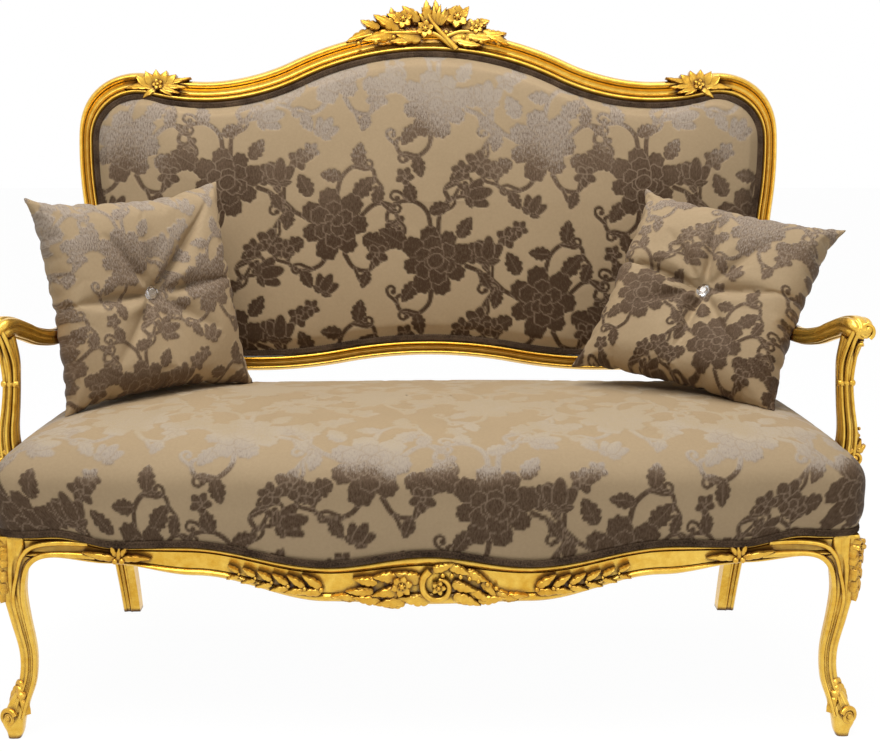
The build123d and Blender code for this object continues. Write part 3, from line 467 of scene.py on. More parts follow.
def front_face(x):
    """Front of the bowed front rail."""
    return FRONT_Y - FRONT_BOW * (1 - (x / OUTER_X) ** 2)


def side_face(y):
    """Outside of the bowed right side rail."""
    share = (y - FRONT_Y) / (REAR_Y - FRONT_Y)
    return OUTER_X + (REAR_X - OUTER_X) * share + 4 * SIDE_BOW * share * (1 - share)


def rail_section(thick, top, bottom):
    """Seat rail seen on end, (inward, height): top fillet, line, broad face and a lower bead."""
    tall = top - bottom
    r = RAIL_ROLL
    face, bead = top - 0.20 * tall, bottom + 0.24 * tall
    rows = [[(0.009, top + 0.004), (0.009, top), (0.6 * r, top)]]
    rows.append(roll((top, 0.6 * r), (face + 0.0016, 0.75 * r), -0.9 * r, 7)[:, ::-1])
    rows.append([(1.55 * r, face + 0.0006), (0.9 * r, face - 0.0006)])
    rows.append(roll((face - 0.0006, 0.9 * r), (bead + 0.001, 1.15 * r), 0.35 * r, 12)[:, ::-1])
    rows.append([(1.6 * r, bead), (0.9 * r, bead - 0.001)])
    rows.append(roll((bead - 0.001, 0.9 * r), (bottom, 1.5 * r), -1.1 * r, 9)[:, ::-1])
    rows.append([(thick, bottom), (thick, top + 0.004)])
    return np.vstack([np.asarray(row, float) for row in rows])


def seat_rails():
    """The front rail with its waved apron, and the side rails."""
    rings = []
    for x in np.linspace(-FRONT_HALF, FRONT_HALF, 240):
        section = rail_section(RAIL_BACK_Y - front_face(x), float(apron_top(x)), float(apron_bottom(x)))
        ease = 0.003 * np.clip((abs(x) - FRONT_HALF + 0.03) / 0.03, 0, 1)
        front = front_face(x) + np.where(section[:, 0] < 0.02, ease, 0)
        rings.append(np.stack([np.full(len(section), x), front + section[:, 0], section[:, 1]], -1))
    form = Form()
    form.tube(rings)
    form.piece("front_rail_moulding", slot="gilded_wood", replaces=["front_rail"])
    rings = []
    for y in np.linspace(RAIL_BACK_Y, BACK_Y - 0.004, 40):
        section = rail_section(SIDE_RAIL, WOOD_TOP, SIDE_BOTTOM)
        rings.append(np.stack([side_face(y) - section[:, 0], np.full(len(section), y), section[:, 1]], -1))
    form = Form()
    form.tube(rings)
    both_sides(form, "side_rail_moulding", ["side_rail"], "gilded_wood")


def soft_square(width, height, power, corners):
    """Square with round corners; a higher power leaves them sharper."""
    turn = 2 * pi * (np.arange(corners) + 0.5) / corners
    reach = (np.abs(np.cos(turn)) ** power + np.abs(np.sin(turn)) ** power) ** (-1 / power)
    return np.stack([width / 2 * reach * np.cos(turn), height / 2 * reach * np.sin(turn)], -1)


def leg_plan(side, power, cut):
    """Plan of a leg: grooves leave a bead along each inner edge and a panel on the outer corner."""
    plan = soft_square(side, side, power, 112)
    turn = np.degrees(np.arctan2(plan[:, 1], plan[:, 0])) + 45
    turn = np.abs((turn + 180) % 360 - 180)
    for at, wide, share in LEG_GROOVES:
        plan = plan * (1 - cut * share * np.exp(-(((turn - at) / wide) ** 2)))[:, None]
    return plan


def leg_at(z):
    """Drift toward the outer corner and side of a front leg at a height."""
    share = np.clip((z - FOOT_Z) / (BLOCK_BOTTOM - FOOT_Z), 0, 1)
    rows = np.array(CABRIOLE[::-1])
    drift, side = (float(np.interp(share, rows[:, 0], rows[:, k])) for k in (1, 2))
    return drift, side


def spiral(first, last, reach, shrink, count):
    """Directions and reaches of a curl that winds in toward its eye."""
    return np.radians(np.linspace(first, last, count)), reach * (1 - shrink * np.linspace(0, 1, count))


def front_legs():
    """Cabriole legs with ribs that come down from the apron, and the leaves and curls of the toes."""
    form = Form()
    tall = BLOCK_BOTTOM - FOOT_Z
    rail_bottom = float(apron_bottom(FRONT_HALF))
    rows = [(WOOD_TOP, 0, 0.94 * LEG_SIDE, 7, 0.2), (WOOD_TOP - 0.003, 0, LEG_SIDE, 8, 0.6)]
    rows += [(z, 0, LEG_SIDE, 7, 0.9) for z in np.linspace(WOOD_TOP - 0.007, BLOCK_BOTTOM + 0.004, 9)]
    for share, drift, side in smooth_through(CABRIOLE, 9):
        fade = min(1, max(0.15, (share - 0.06) / 0.12))
        power = 3.2 + 2.8 * max(0, share - 0.7) / 0.3
        rows.append((FOOT_Z + max(0, share) * tall, drift, side, power, fade))
    rings = []
    for z, drift, side, power, cut in rows:
        plan = leg_plan(side, power, cut)
        below = min(BRACKET, max(0, z - rail_bottom + BRACKET))
        flare = BRACKET - (BRACKET**2 - below**2) ** 0.5 if z < rail_bottom else 0.0
        plan[:, 0] -= flare * np.clip(-plan[:, 0] / side * 2, 0, 1)
        plan[:, 1] += flare * np.clip(plan[:, 1] / side * 2, 0, 1)
        x, y = LEG_X + drift + plan[:, 0], LEG_Y - drift + plan[:, 1]
        rings.append(np.column_stack([x, y, np.full(len(plan), z)]))
    form.tube(rings[::-1])
    rail_top = float(apron_top(FRONT_HALF))
    ribs = ((INNER_RIB, rail_bottom, -0.40, 0.0048, 0.0024), (FRONT_RIB, rail_top, 0.02, 0.0042, 0.0016))
    for path, level, share, start, end in ribs:
        points = [(x, min(FRONT_Y, front_face(x)) + 0.0012, level + rise) for x, rise in path]
        for z in FOOT_Z + tall * np.array(RIB_HEIGHTS):
            drift, side = leg_at(z)
            y = LEG_Y - drift - 0.485 * side + 0.10 * side * abs(share)
            points.append((LEG_X + drift + share * side, y, z))
        add_stem(form, points, start, end)
    both_sides(form, "cabriole_leg", ["front_leg"], "gilded_wood")
    form = Form()
    for z, angle, length, width in TOE_LEAVES:
        add_leaf(form, leg_corner(FOOT_Z + z, angle), length, width, 0.006, sink=0.008, curl=0.002, lobes=4)
    drift, side = leg_at(FOOT_Z + 0.034)
    root = (LEG_X + drift + 0.22 * side, LEG_Y - drift - 0.44 * side, FOOT_Z + 0.034)
    eye = Place(root, (0, 0, -1), (0.45, -1, 0))
    turns, reach = spiral(200, 740, 0.0135, 0.70, 46)
    curl = [eye.root + r * (cos(t) * eye.across + sin(t) * eye.along) for t, r in zip(turns, reach)]
    add_stem(form, np.array(curl)[::2], 0.0042, 0.0026)
    add_ball(form, eye.root, 0.0056)
    both_sides(form, "toe_leaf", [], "gilded_carving")


def bar_rings(rows, flutes, depth):
    """Rings along a fluted bar through (x, y, z, width, height), each square to the run."""
    path = smooth_through(rows, 10)
    places = path[:, :3]
    ahead = np.gradient(places, axis=0)
    ahead /= np.linalg.norm(ahead, axis=1)[:, None]
    rings = []
    for place, run, (width, height) in zip(places, ahead, path[:, 3:]):
        steep = min(1, max(0, (abs(run[2]) - 0.55) / 0.3))
        across = np.cross((0, 1, 0), run) * steep + np.cross((0, 0, 1), run) * (1 - steep)
        across /= np.linalg.norm(across)
        up = np.cross(run, across)
        plan = soft_square(width, height, 2.9, 84)
        turn = np.arctan2(plan[:, 1], plan[:, 0])
        plan = plan * (1 - depth * (0.5 + 0.5 * np.cos(flutes * turn)) ** 5)[:, None]
        rings.append(place + plan[:, :1] * across + plan[:, 1:] * up)
    return rings


def arm_support_rows():
    """Stations of the right arm support, from the side rail up: x, y, z, width, depth."""
    x, y, rise = LEG_X, SUPPORT_Y, ARM_HEIGHT - WOOD_TOP
    return (
        (x + 0.002, y, WOOD_TOP - 0.08 * rise, 0.034, 0.046),
        (x + 0.019, y, WOOD_TOP + 0.08 * rise, 0.033, 0.046),
        (x + 0.031, y - 0.001, WOOD_TOP + 0.21 * rise, 0.031, 0.045),
        (x + 0.037, y - 0.004, WOOD_TOP + 0.34 * rise, 0.029, 0.042),
        (x + 0.037, y - 0.008, WOOD_TOP + 0.44 * rise, 0.028, 0.038),
        (x + 0.031, y - 0.015, WOOD_TOP + 0.57 * rise, 0.025, 0.034),
        (x + 0.026, y - 0.024, WOOD_TOP + 0.70 * rise, 0.024, 0.032),
        (x + 0.025, y - 0.033, WOOD_TOP + 0.82 * rise, 0.028, 0.034),
        (x + ARM_REACH - 0.005, y - 0.044, WOOD_TOP + 0.95 * rise, 0.034, 0.036),
    )


def arm_rows():
    """Stations of the right arm, from its scroll to the post: x, y, z, width, height."""
    x, y, join = LEG_X + ARM_REACH, SUPPORT_Y, STILE_X + STILE_WIDTH / 2
    rear = BACK_Y + (ARM_JOIN - BACK_Z) * tan(LEAN)
    s = ARM_SIDE
    return (
        (x + 0.003, y - 0.072, ARM_HEIGHT - 0.008, 0.022, 0.018),
        (x + 0.003, y - 0.064, ARM_HEIGHT - 0.003, 0.036, 0.028),
        (x, y - 0.048, ARM_HEIGHT, 0.043, 0.035),
        (x - 0.006, y - 0.014, ARM_HEIGHT - 0.003, 0.038, 0.032),
        (x - 0.018, y + 0.018, ARM_HEIGHT - 0.014, s + 0.005, s + 0.002),
        (x - 0.032, y + 0.054, ARM_HEIGHT - 0.028, s, s),
        (x - 0.048, y + 0.110, ARM_HEIGHT - ARM_DIP, s, s - 0.002),
        (x - 0.058, y + 0.190, ARM_HEIGHT - ARM_DIP + 0.006, s, s - 0.002),
        (join, rear - 0.060, ARM_JOIN - 0.012, s - 0.002, s - 0.002),
        (join, rear + 0.006, ARM_JOIN, s - 0.004, s),
    )


def arms():
    """Arm supports with raised ribs and a ring of beads, and the arms with a scroll at the front."""
    form = Form()
    rows = arm_support_rows()
    form.tube(bar_rings(rows, flutes=7, depth=0.17))
    eye = np.array([LEG_X + ARM_REACH + 0.008, SUPPORT_Y - 0.070, ARM_HEIGHT - 0.003])
    for offset, start, end in ((-0.34, 0.0044, 0.0034), (-0.02, 0.0046, 0.0034), (0.32, 0.0042, 0.0032)):
        bulge = 0.47 - 0.2 * offset**2
        points = [(x + offset * wide, y - bulge * deep, z) for x, y, z, wide, deep in rows[1:8]]
        points.append(eye + (-0.016 + 0.022 * offset, 0.006, -0.020 - 0.010 * offset))
        points.append(eye + (-0.008 + 0.016 * offset, 0.001, 0.008 - 0.028 * (offset > 0)))
        add_stem(form, points, start, end)
    x, y, z, wide, deep = rows[6]
    for offset in (-0.36, -0.02, 0.34):
        add_ball(form, (x + offset * wide, y - 0.44 * deep, z), 0.0062)
    both_sides(form, "arm_support_turning", ["arm_support"], "gilded_wood")
    form = Form()
    form.tube(bar_rings(arm_rows(), flutes=6, depth=0.14))
    turns, reach = spiral(-60, 520, 0.0125, 0.75, 44)
    curl = eye + np.stack([reach * np.cos(turns), 0 * turns, reach * np.sin(turns)], -1)
    add_stem(form, curl[::2], 0.0036, 0.0022)
    add_ball(form, eye, 0.0042)
    both_sides(form, "arm_rail", ["arm"], "gilded_wood")


# Carving

# Leaves of the toes and the knees: height, turn, length, width
TOE_LEAVES = ((0.086, 0, 0.056, 0.021), (0.078, 26, 0.046, 0.015), (0.078, -26, 0.046, 0.015))
KNEE_LEAVES = (
    (0.296, 22, 0.030, 0.012), (0.296, -22, 0.030, 0.012), (0.280, 26, 0.026, 0.011),
    (0.280, -26, 0.026, 0.011), (0.270, 0, 0.030, 0.014), (0.258, 20, 0.026, 0.010),
    (0.258, -20, 0.026, 0.010), (0.240, 14, 0.026, 0.009), (0.240, -14, 0.026, 0.009),
    (0.230, 0, 0.030, 0.010),
)
# Leaves of the arm supports, likewise
ARM_LEAVES = (
    (0.388, 0, 0.058, 0.022), (0.390, 26, 0.040, 0.015), (0.390, -26, 0.040, 0.015),
    (0.396, 180, 0.040, 0.018),
)
FLOWER_HEIGHT = 0.006


def leg_corner(z, angle, out=0.0):
    """Place on the outer corner of the right front leg; the form points down, turned by the angle."""
    drift, side = leg_at(z)
    reach = 0.40 * side + out
    a = radians(angle)
    sway = sin(a) * 0.7071
    return Place((LEG_X + drift + reach, LEG_Y - drift - reach, z), (sway, sway, -cos(a)), (1, -1, 0))


class Place:
    """Where a carved form sits: its root, the way it points, and the way it stands out."""

    def __init__(self, root, along, out):
        self.root = np.asarray(root, float)
        self.along = np.asarray(along, float) / np.linalg.norm(along)
        out = np.asarray(out, float) - self.along * np.dot(out, self.along)
        self.out = out / np.linalg.norm(out)
        self.across = np.cross(self.out, self.along)

    def set(self, local):
        """From the form's own frame (along, across, out) to the room."""
        local = np.asarray(local, float)
        flat = self.root + local[..., :1] * self.along + local[..., 1:2] * self.across
        return flat + local[..., 2:3] * self.out


def leaf_rings(length, width, height, sink=0.004, curl=0.0, lobes=3, bend=0.0):
    """Closed leaf: a cupped blade with a grooved midrib, lobed edges and a curled tip."""
    rings = []
    across = np.linspace(-1, 1, 11)
    for s in np.linspace(0.0, 1.0, 25):
        half = width / 2 * max(0.06, sin(pi * min(1, 0.06 + 0.94 * s) ** 0.72)) ** 0.8
        half *= 0.86 + 0.26 * abs(sin(pi * lobes * s)) ** 0.7
        body = 0.30 + 0.70 * sin(pi * min(1, 0.12 + 0.80 * s))
        ribs = 0.10 * np.cos(3.0 * pi * across) - 0.22 * np.exp(-((across / 0.16) ** 2))
        top = height * body * (0.25 + 0.75 * np.sqrt(np.clip(1 - across**2, 0, 1)) + ribs) + curl * s * s
        x = np.full(11, s * length)
        y = across * half + bend * s * s
        upper = np.stack([x, y, top], -1)
        lower = np.stack([x[[0, -1]], y[[-1, 0]] * 0.92, np.full(2, -sink)], -1)
        rings.append(np.vstack([upper, lower]))
    return np.array(rings)


def add_leaf(form, place, length, width, height, **shape):
    form.tube(place.set(leaf_rings(length, width, height, **shape)))


def add_ball(form, centre, radius):
    """Berry: a low ball of rings."""
    rings = []
    turn = np.linspace(0, 2 * pi, 12, endpoint=False)
    for a in np.linspace(0.04 * pi, 0.96 * pi, 8):
        ring = np.stack([sin(a) * np.cos(turn), sin(a) * np.sin(turn), np.full(12, cos(a))], -1)
        rings.append(np.asarray(centre) + radius * ring)
    form.tube(rings[::-1])


def add_stem(form, points, start, end):
    """Round stem through points, tapering from one radius to the other."""
    path = smooth_through(points, 7)
    ahead = np.gradient(path, axis=0)
    ahead /= np.linalg.norm(ahead, axis=1)[:, None]
    side = np.cross(ahead, (0.0, -1.0, 0.02))
    side /= np.linalg.norm(side, axis=1)[:, None]
    up = np.cross(side, ahead)
    turn = np.linspace(0, 2 * pi, 12, endpoint=False)[None, :, None]
    radius = np.linspace(start, end, len(path))[:, None, None]
    ring = np.cos(turn) * side[:, None] + np.sin(turn) * up[:, None]
    form.tube(path[:, None] + radius * ring)


def add_flower(form, place, radius, petals):
    """Open flower: cupped petals round a seeded boss."""
    for i in range(petals):
        turn = 2 * pi * i / petals
        along = cos(turn) * place.along + sin(turn) * place.across
        petal = Place(place.root + along * 0.12 * radius, along, place.out)
        add_leaf(form, petal, 0.9 * radius, 0.95 * radius, FLOWER_HEIGHT, curl=0.25 * radius, lobes=2)
    add_ball(form, place.root + place.out * 0.9 * FLOWER_HEIGHT, 0.26 * radius)
    for i in range(6):
        turn = 2 * pi * i / 6
        seed = place.root + 0.27 * radius * (cos(turn) * place.along + sin(turn) * place.across)
        add_ball(form, seed + place.out * 0.95 * FLOWER_HEIGHT, 0.10 * radius)


def back_place(u, v, angle, d):
    """Place on the back's plane; the angle counts from the viewer's right."""
    a = radians(angle)
    origin = on_back(u, v, d)
    along = on_back(u + cos(a), v + sin(a), d) - origin
    return Place(origin, along, (0, -cos(LEAN), sin(LEAN)))


def apron_place(x, z, angle, out=0.0):
    """Place on the apron's face; the angle counts from the viewer's right."""
    a = radians(angle)
    return Place((x, front_face(x) - out, z), (cos(a), 0, sin(a)), (0, -1, 0))


# Leaves of the crest: across, up, direction, length, width
CREST_LEAVES = (
    (-0.014, 0.604, 170, 0.060, 0.026), (-0.058, 0.612, 186, 0.062, 0.024),
    (-0.052, 0.622, 160, 0.052, 0.024), (-0.100, 0.617, 196, 0.052, 0.019),
    (-0.088, 0.624, 170, 0.036, 0.018), (-0.034, 0.630, 150, 0.044, 0.022),
    (-0.060, 0.634, 120, 0.026, 0.019), (-0.018, 0.634, 128, 0.040, 0.021),
    (0.000, 0.636, 106, 0.036, 0.020), (0.014, 0.636, 84, 0.037, 0.020),
    (0.028, 0.634, 60, 0.037, 0.020), (0.044, 0.632, 36, 0.040, 0.021), (0.060, 0.626, 8, 0.044, 0.024),
    (0.066, 0.612, -14, 0.058, 0.024), (0.098, 0.616, -22, 0.052, 0.019),
    (0.030, 0.606, -6, 0.050, 0.025), (0.084, 0.628, 30, 0.026, 0.018),
    (0.100, 0.612, -8, 0.040, 0.016), (-0.030, 0.604, 196, 0.040, 0.018),
    (0.052, 0.600, -20, 0.044, 0.016),
)
CREST_FLOWERS = ((-0.046, 0.638, 0.017), (0.052, 0.642, 0.020), (-0.006, 0.620, 0.016), (0.086, 0.624, 0.013))
CREST_STEMS = (                    # how far out, radius at the start and at the end, places (across, up)
    (0.010, 0.0052, 0.0034, ((0.050, 0.584), (0.030, 0.606), (0.008, 0.630), (-0.004, 0.654))),
    (0.008, 0.0048, 0.0026, (
        (0.044, 0.588), (0.010, 0.612), (-0.040, 0.614), (-0.090, 0.612), (-0.142, 0.600),
    )),
    (0.008, 0.0044, 0.0026, ((0.030, 0.606), (0.060, 0.616), (0.100, 0.610), (0.140, 0.598))),
)
CREST_MOUND = (                    # outline of the ground behind the spray: across, up
    (-0.150, 0.600), (-0.120, 0.618), (-0.088, 0.634), (-0.052, 0.650), (-0.020, 0.657), (0.015, 0.658),
    (0.050, 0.652), (0.086, 0.638), (0.118, 0.620), (0.150, 0.599),
)


def crest_carving():
    """Spray of leaves and flowers on a crossed stem, with a fan at the top and a ground behind."""
    form = Form()
    rings = []
    for u, v in smooth_through(CREST_MOUND, 6):
        low = 0.598 - 0.30 * u * u / SIGHT_TOP
        high = max(v + 0.004 * sin(150 * u), low + 0.002)
        rounding = [(high, -0.020), (high - 0.002, -0.010), (high - 0.008, -0.004)]
        section = [(low, -0.022), *rounding, (low, 0.000)]
        rings.append([on_back(u, up, d) for up, d in section])
    form.tube(rings)
    for i in range(7):
        fan = back_place(0.010 + 0.0035 * (i - 3), 0.628, 90 - 13 * (i - 3), 0.003)
        add_leaf(form, fan, 0.040 - 0.0012 * (i - 3) ** 2, 0.011, 0.008, sink=0.012, curl=0.003, lobes=1)
    for out, start, end, places in CREST_STEMS:
        add_stem(form, [on_back(u, v, out) for u, v in places], start, end)
    for i, (u, v, angle, length, width) in enumerate(CREST_LEAVES):
        depth = 0.001 + 0.0025 * (i % 3)
        bend = 0.006 * (1 if i % 2 else -1)
        upper = back_place(u, v, angle, depth)
        add_leaf(form, upper, length, width, 0.0085, sink=0.014, curl=0.004, lobes=4, bend=bend)
        lower = back_place(u, v, angle + (32 if i % 2 else -32), 0.000)
        add_leaf(form, lower, 0.62 * length, 0.8 * width, 0.006, sink=0.014, curl=0.002, lobes=3, bend=-bend)
    for u, v, radius in CREST_FLOWERS:
        add_flower(form, back_place(u, v, 20, 0.009), radius, 6)
    for i in range(9):
        add_ball(form, on_back(-0.126 + 0.0315 * i, 0.606 + 0.012 * cos(0.8 * (i - 4)), 0.008), 0.0046)
    form.piece("crest_spray", slot="gilded_carving", replaces=["crest_carving"])


# Leaves on the outer side of a shoulder: across, up, direction, length, width, lobes, bend
SHOULDER_LEAVES = ((0.494, 0.516, 8, 0.052, 0.015, 4, -0.010), (0.490, 0.514, -30, 0.030, 0.013, 3, -0.004))


def shoulder_carvings():
    """Small shell of leaves on each shoulder."""
    form = Form()
    for angle in (40, 64, 88, 112, 136):
        fan = back_place(0.488 - 0.0003 * (angle - 90), 0.518, angle, 0.002)
        add_leaf(form, fan, 0.029, 0.021, 0.010, sink=0.014, curl=0.004, lobes=1)
    for angle, length in ((172, 0.060), (190, 0.052), (208, 0.042), (226, 0.032)):
        frond = back_place(0.486, 0.520, angle, 0.004)
        add_leaf(form, frond, length, 0.013, 0.008, sink=0.012, curl=0.001, lobes=4, bend=-0.005)
    for u, v, angle, length, width, lobes, bend in SHOULDER_LEAVES:
        outer = back_place(u, v, angle, 0.003)
        add_leaf(form, outer, length, width, 0.008, sink=0.010, lobes=lobes, bend=bend)
    add_flower(form, back_place(0.486, 0.520, 0, 0.009), 0.010, 5)
    both_sides(form, "shoulder_shell", ["shoulder_carving"], "gilded_carving")


# Leaves of the apron's spray: across, up, direction, length, width
APRON_LEAVES = (
    (0.000, 0.212, 178, 0.046, 0.018), (-0.036, 0.211, 180, 0.044, 0.017),
    (-0.072, 0.212, 176, 0.042, 0.015), (-0.106, 0.216, 168, 0.038, 0.011),
    (-0.014, 0.242, 166, 0.038, 0.019), (-0.046, 0.246, 170, 0.036, 0.018),
    (-0.076, 0.240, 176, 0.036, 0.014), (-0.040, 0.228, 184, 0.044, 0.017),
    (-0.082, 0.226, 184, 0.040, 0.013), (0.006, 0.258, 14, 0.032, 0.014),
    (0.030, 0.263, -12, 0.032, 0.015), (0.055, 0.256, -32, 0.032, 0.015),
    (0.078, 0.240, -40, 0.032, 0.014), (0.096, 0.224, -22, 0.036, 0.012),
    (0.036, 0.220, -14, 0.042, 0.017), (0.072, 0.213, 2, 0.040, 0.015),
    (0.106, 0.216, 12, 0.040, 0.012), (0.034, 0.238, -22, 0.038, 0.016),
    (0.060, 0.228, -24, 0.036, 0.014),
)
# Leaves where the apron's scrolls meet, likewise
BREAK_LEAVES = (
    (-0.004, 0.010, 176, 0.044, 0.011), (0.004, 0.010, 8, 0.050, 0.011),
    (-0.003, 0.014, 118, 0.020, 0.009), (0.003, 0.014, 60, 0.022, 0.009),
    (0.000, 0.006, 90, 0.026, 0.008),
)


def apron_carving():
    """C-scroll, flowers and leaves at the middle of the apron, and the garlands beside them."""
    form = Form()
    turns, reach = spiral(118, 448, 0.027, 0.62, 34)
    x, z = 0.014 + reach * np.cos(turns), DATUM + 0.234 + reach * np.sin(turns)
    add_stem(form, np.stack([x, front_face(x) - 0.004, z], -1)[::3], 0.0058, 0.0034)
    for i, (u, z, angle, length, width) in enumerate(APRON_LEAVES):
        bend = 0.004 * (1 if i % 2 else -1)
        place = apron_place(u, DATUM + z, angle, 0.0005 * (i % 4))
        add_leaf(form, place, length, width, 0.0062, sink=0.006, curl=0.002, lobes=4, bend=bend)
        lower = apron_place(u, DATUM + z, angle + (28 if i % 2 else -28))
        add_leaf(form, lower, 0.6 * length, 0.75 * width, 0.0045, sink=0.006, curl=0.001, lobes=3, bend=-bend)
    add_flower(form, apron_place(-0.040, DATUM + 0.236, 15, 0.004), 0.016, 6)
    add_flower(form, apron_place(0.014, DATUM + 0.233, 0, 0.003), 0.011, 5)
    for i in range(7):
        place = apron_place(0.020 + 0.013 * i, DATUM + 0.252 - 0.00055 * i * i, 0, 0.006)
        add_ball(form, place.root, 0.0036)
    form.piece("apron_spray", slot="gilded_carving", replaces=["apron_carving"])
    form = Form()
    for i in range(6):
        x = 0.158 + 0.024 * i
        z = float(apron_bottom(x)) + 0.020 - 0.001 * i
        slope = 16 - 1.5 * i
        size = 1 - 0.09 * i
        for lift, turn, bend in ((0.003, 14, 0.003), (-0.004, -12, -0.003)):
            place = apron_place(x, z + lift, slope + turn, 0.001)
            add_leaf(form, place, 0.034 * size, 0.013 * size, 0.006, sink=0.006, lobes=3, bend=bend)
        add_ball(form, apron_place(x, z, 0, 0.004).root, 0.0038 * size)
    low = float(apron_bottom(RAIL_BREAK))
    for x, z, angle, length, width in BREAK_LEAVES:
        place = apron_place(RAIL_BREAK + x, low + z, angle)
        add_leaf(form, place, length, width, 0.0055, sink=0.006, lobes=3, bend=0.003)
    for x in (-0.005, 0.005):
        add_ball(form, apron_place(RAIL_BREAK + x, low + 0.007, 0, 0.003).root, 0.0048)
    both_sides(form, "apron_garland_leaves", ["apron_garland"], "gilded_carving")


def knee_carvings():
    """Flower with a drop of berries and leaves on the outer corner of each knee."""
    form = Form()
    for z, angle, length, width in KNEE_LEAVES:
        add_leaf(form, leg_corner(DATUM + z, angle), length, width, 0.006, sink=0.008, curl=0.001, lobes=3)
    add_flower(form, leg_corner(DATUM + 0.286, 0, 0.002), 0.012, 5)
    for i in range(6):
        add_ball(form, leg_corner(DATUM + 0.268 - 0.0085 * i, 0, 0.003).root, 0.0042 - 0.0004 * i)
    both_sides(form, "knee_drop", ["knee_carving"], "gilded_carving")


def arm_leaves():
    """Leaves and berries on the outer side of each arm support, and a curl with fronds at its front."""
    form = Form()

    def place(z, angle, out=0.0):
        a = radians(angle)
        share = (z - DATUM - 0.386) / 0.06
        root = (LEG_X + 0.048 + 0.004 * share + out, SUPPORT_Y - 0.004, z)
        return Place(root, (0, -sin(a), cos(a)), (1, 0, 0))

    for z, angle, length, width in ARM_LEAVES:
        add_leaf(form, place(DATUM + z, angle), length, width, 0.007, sink=0.008, curl=0.001, lobes=4)
    for i in range(4):
        add_ball(form, place(DATUM + 0.394 + 0.011 * i, 0, 0.007).root, 0.0042 - 0.0004 * i)
    turns, reach = spiral(100, 560, 0.0135, 0.70, 40)
    eye = np.array([LEG_X + 0.048, SUPPORT_Y - 0.022, DATUM + 0.384])
    curl = eye + np.stack([reach * np.cos(turns), 0 * turns, reach * np.sin(turns)], -1)
    add_stem(form, curl[::2], 0.0046, 0.0028)
    for angle, length in ((96, 0.030), (70, 0.026), (40, 0.022), (122, 0.030)):
        a = radians(angle)
        frond = Place(eye + (0, 0.004, 0.006), (cos(a), 0, sin(a)), (0.3, -1, 0))
        add_leaf(form, frond, length, 0.012, 0.006, sink=0.006)
    add_ball(form, eye - (0, 0.002, 0), 0.0048)
    both_sides(form, "arm_support_leaf", ["arm_leaf"], "gilded_carving")


# Damask: one repeat of the woven pattern, drawn on a fine grid

REPEAT = (0.371, 0.280)
DROP = REPEAT[1] / 2               # each repeat to the right steps up by half a repeat
GRAIN = 0.001
MM = 0.001                         # the pattern is laid out in millimetres
TENDRIL = ((0, 0), (9, 7), (20, 16), (32, 17), (37, 8), (31, 1), (24, 4))


def grid_span(centre, reach, count):
    """First grid point that a shape can touch, and the one after the last."""
    return max(0, int((centre - reach) / GRAIN)), min(count, int((centre + reach) / GRAIN) + 2)


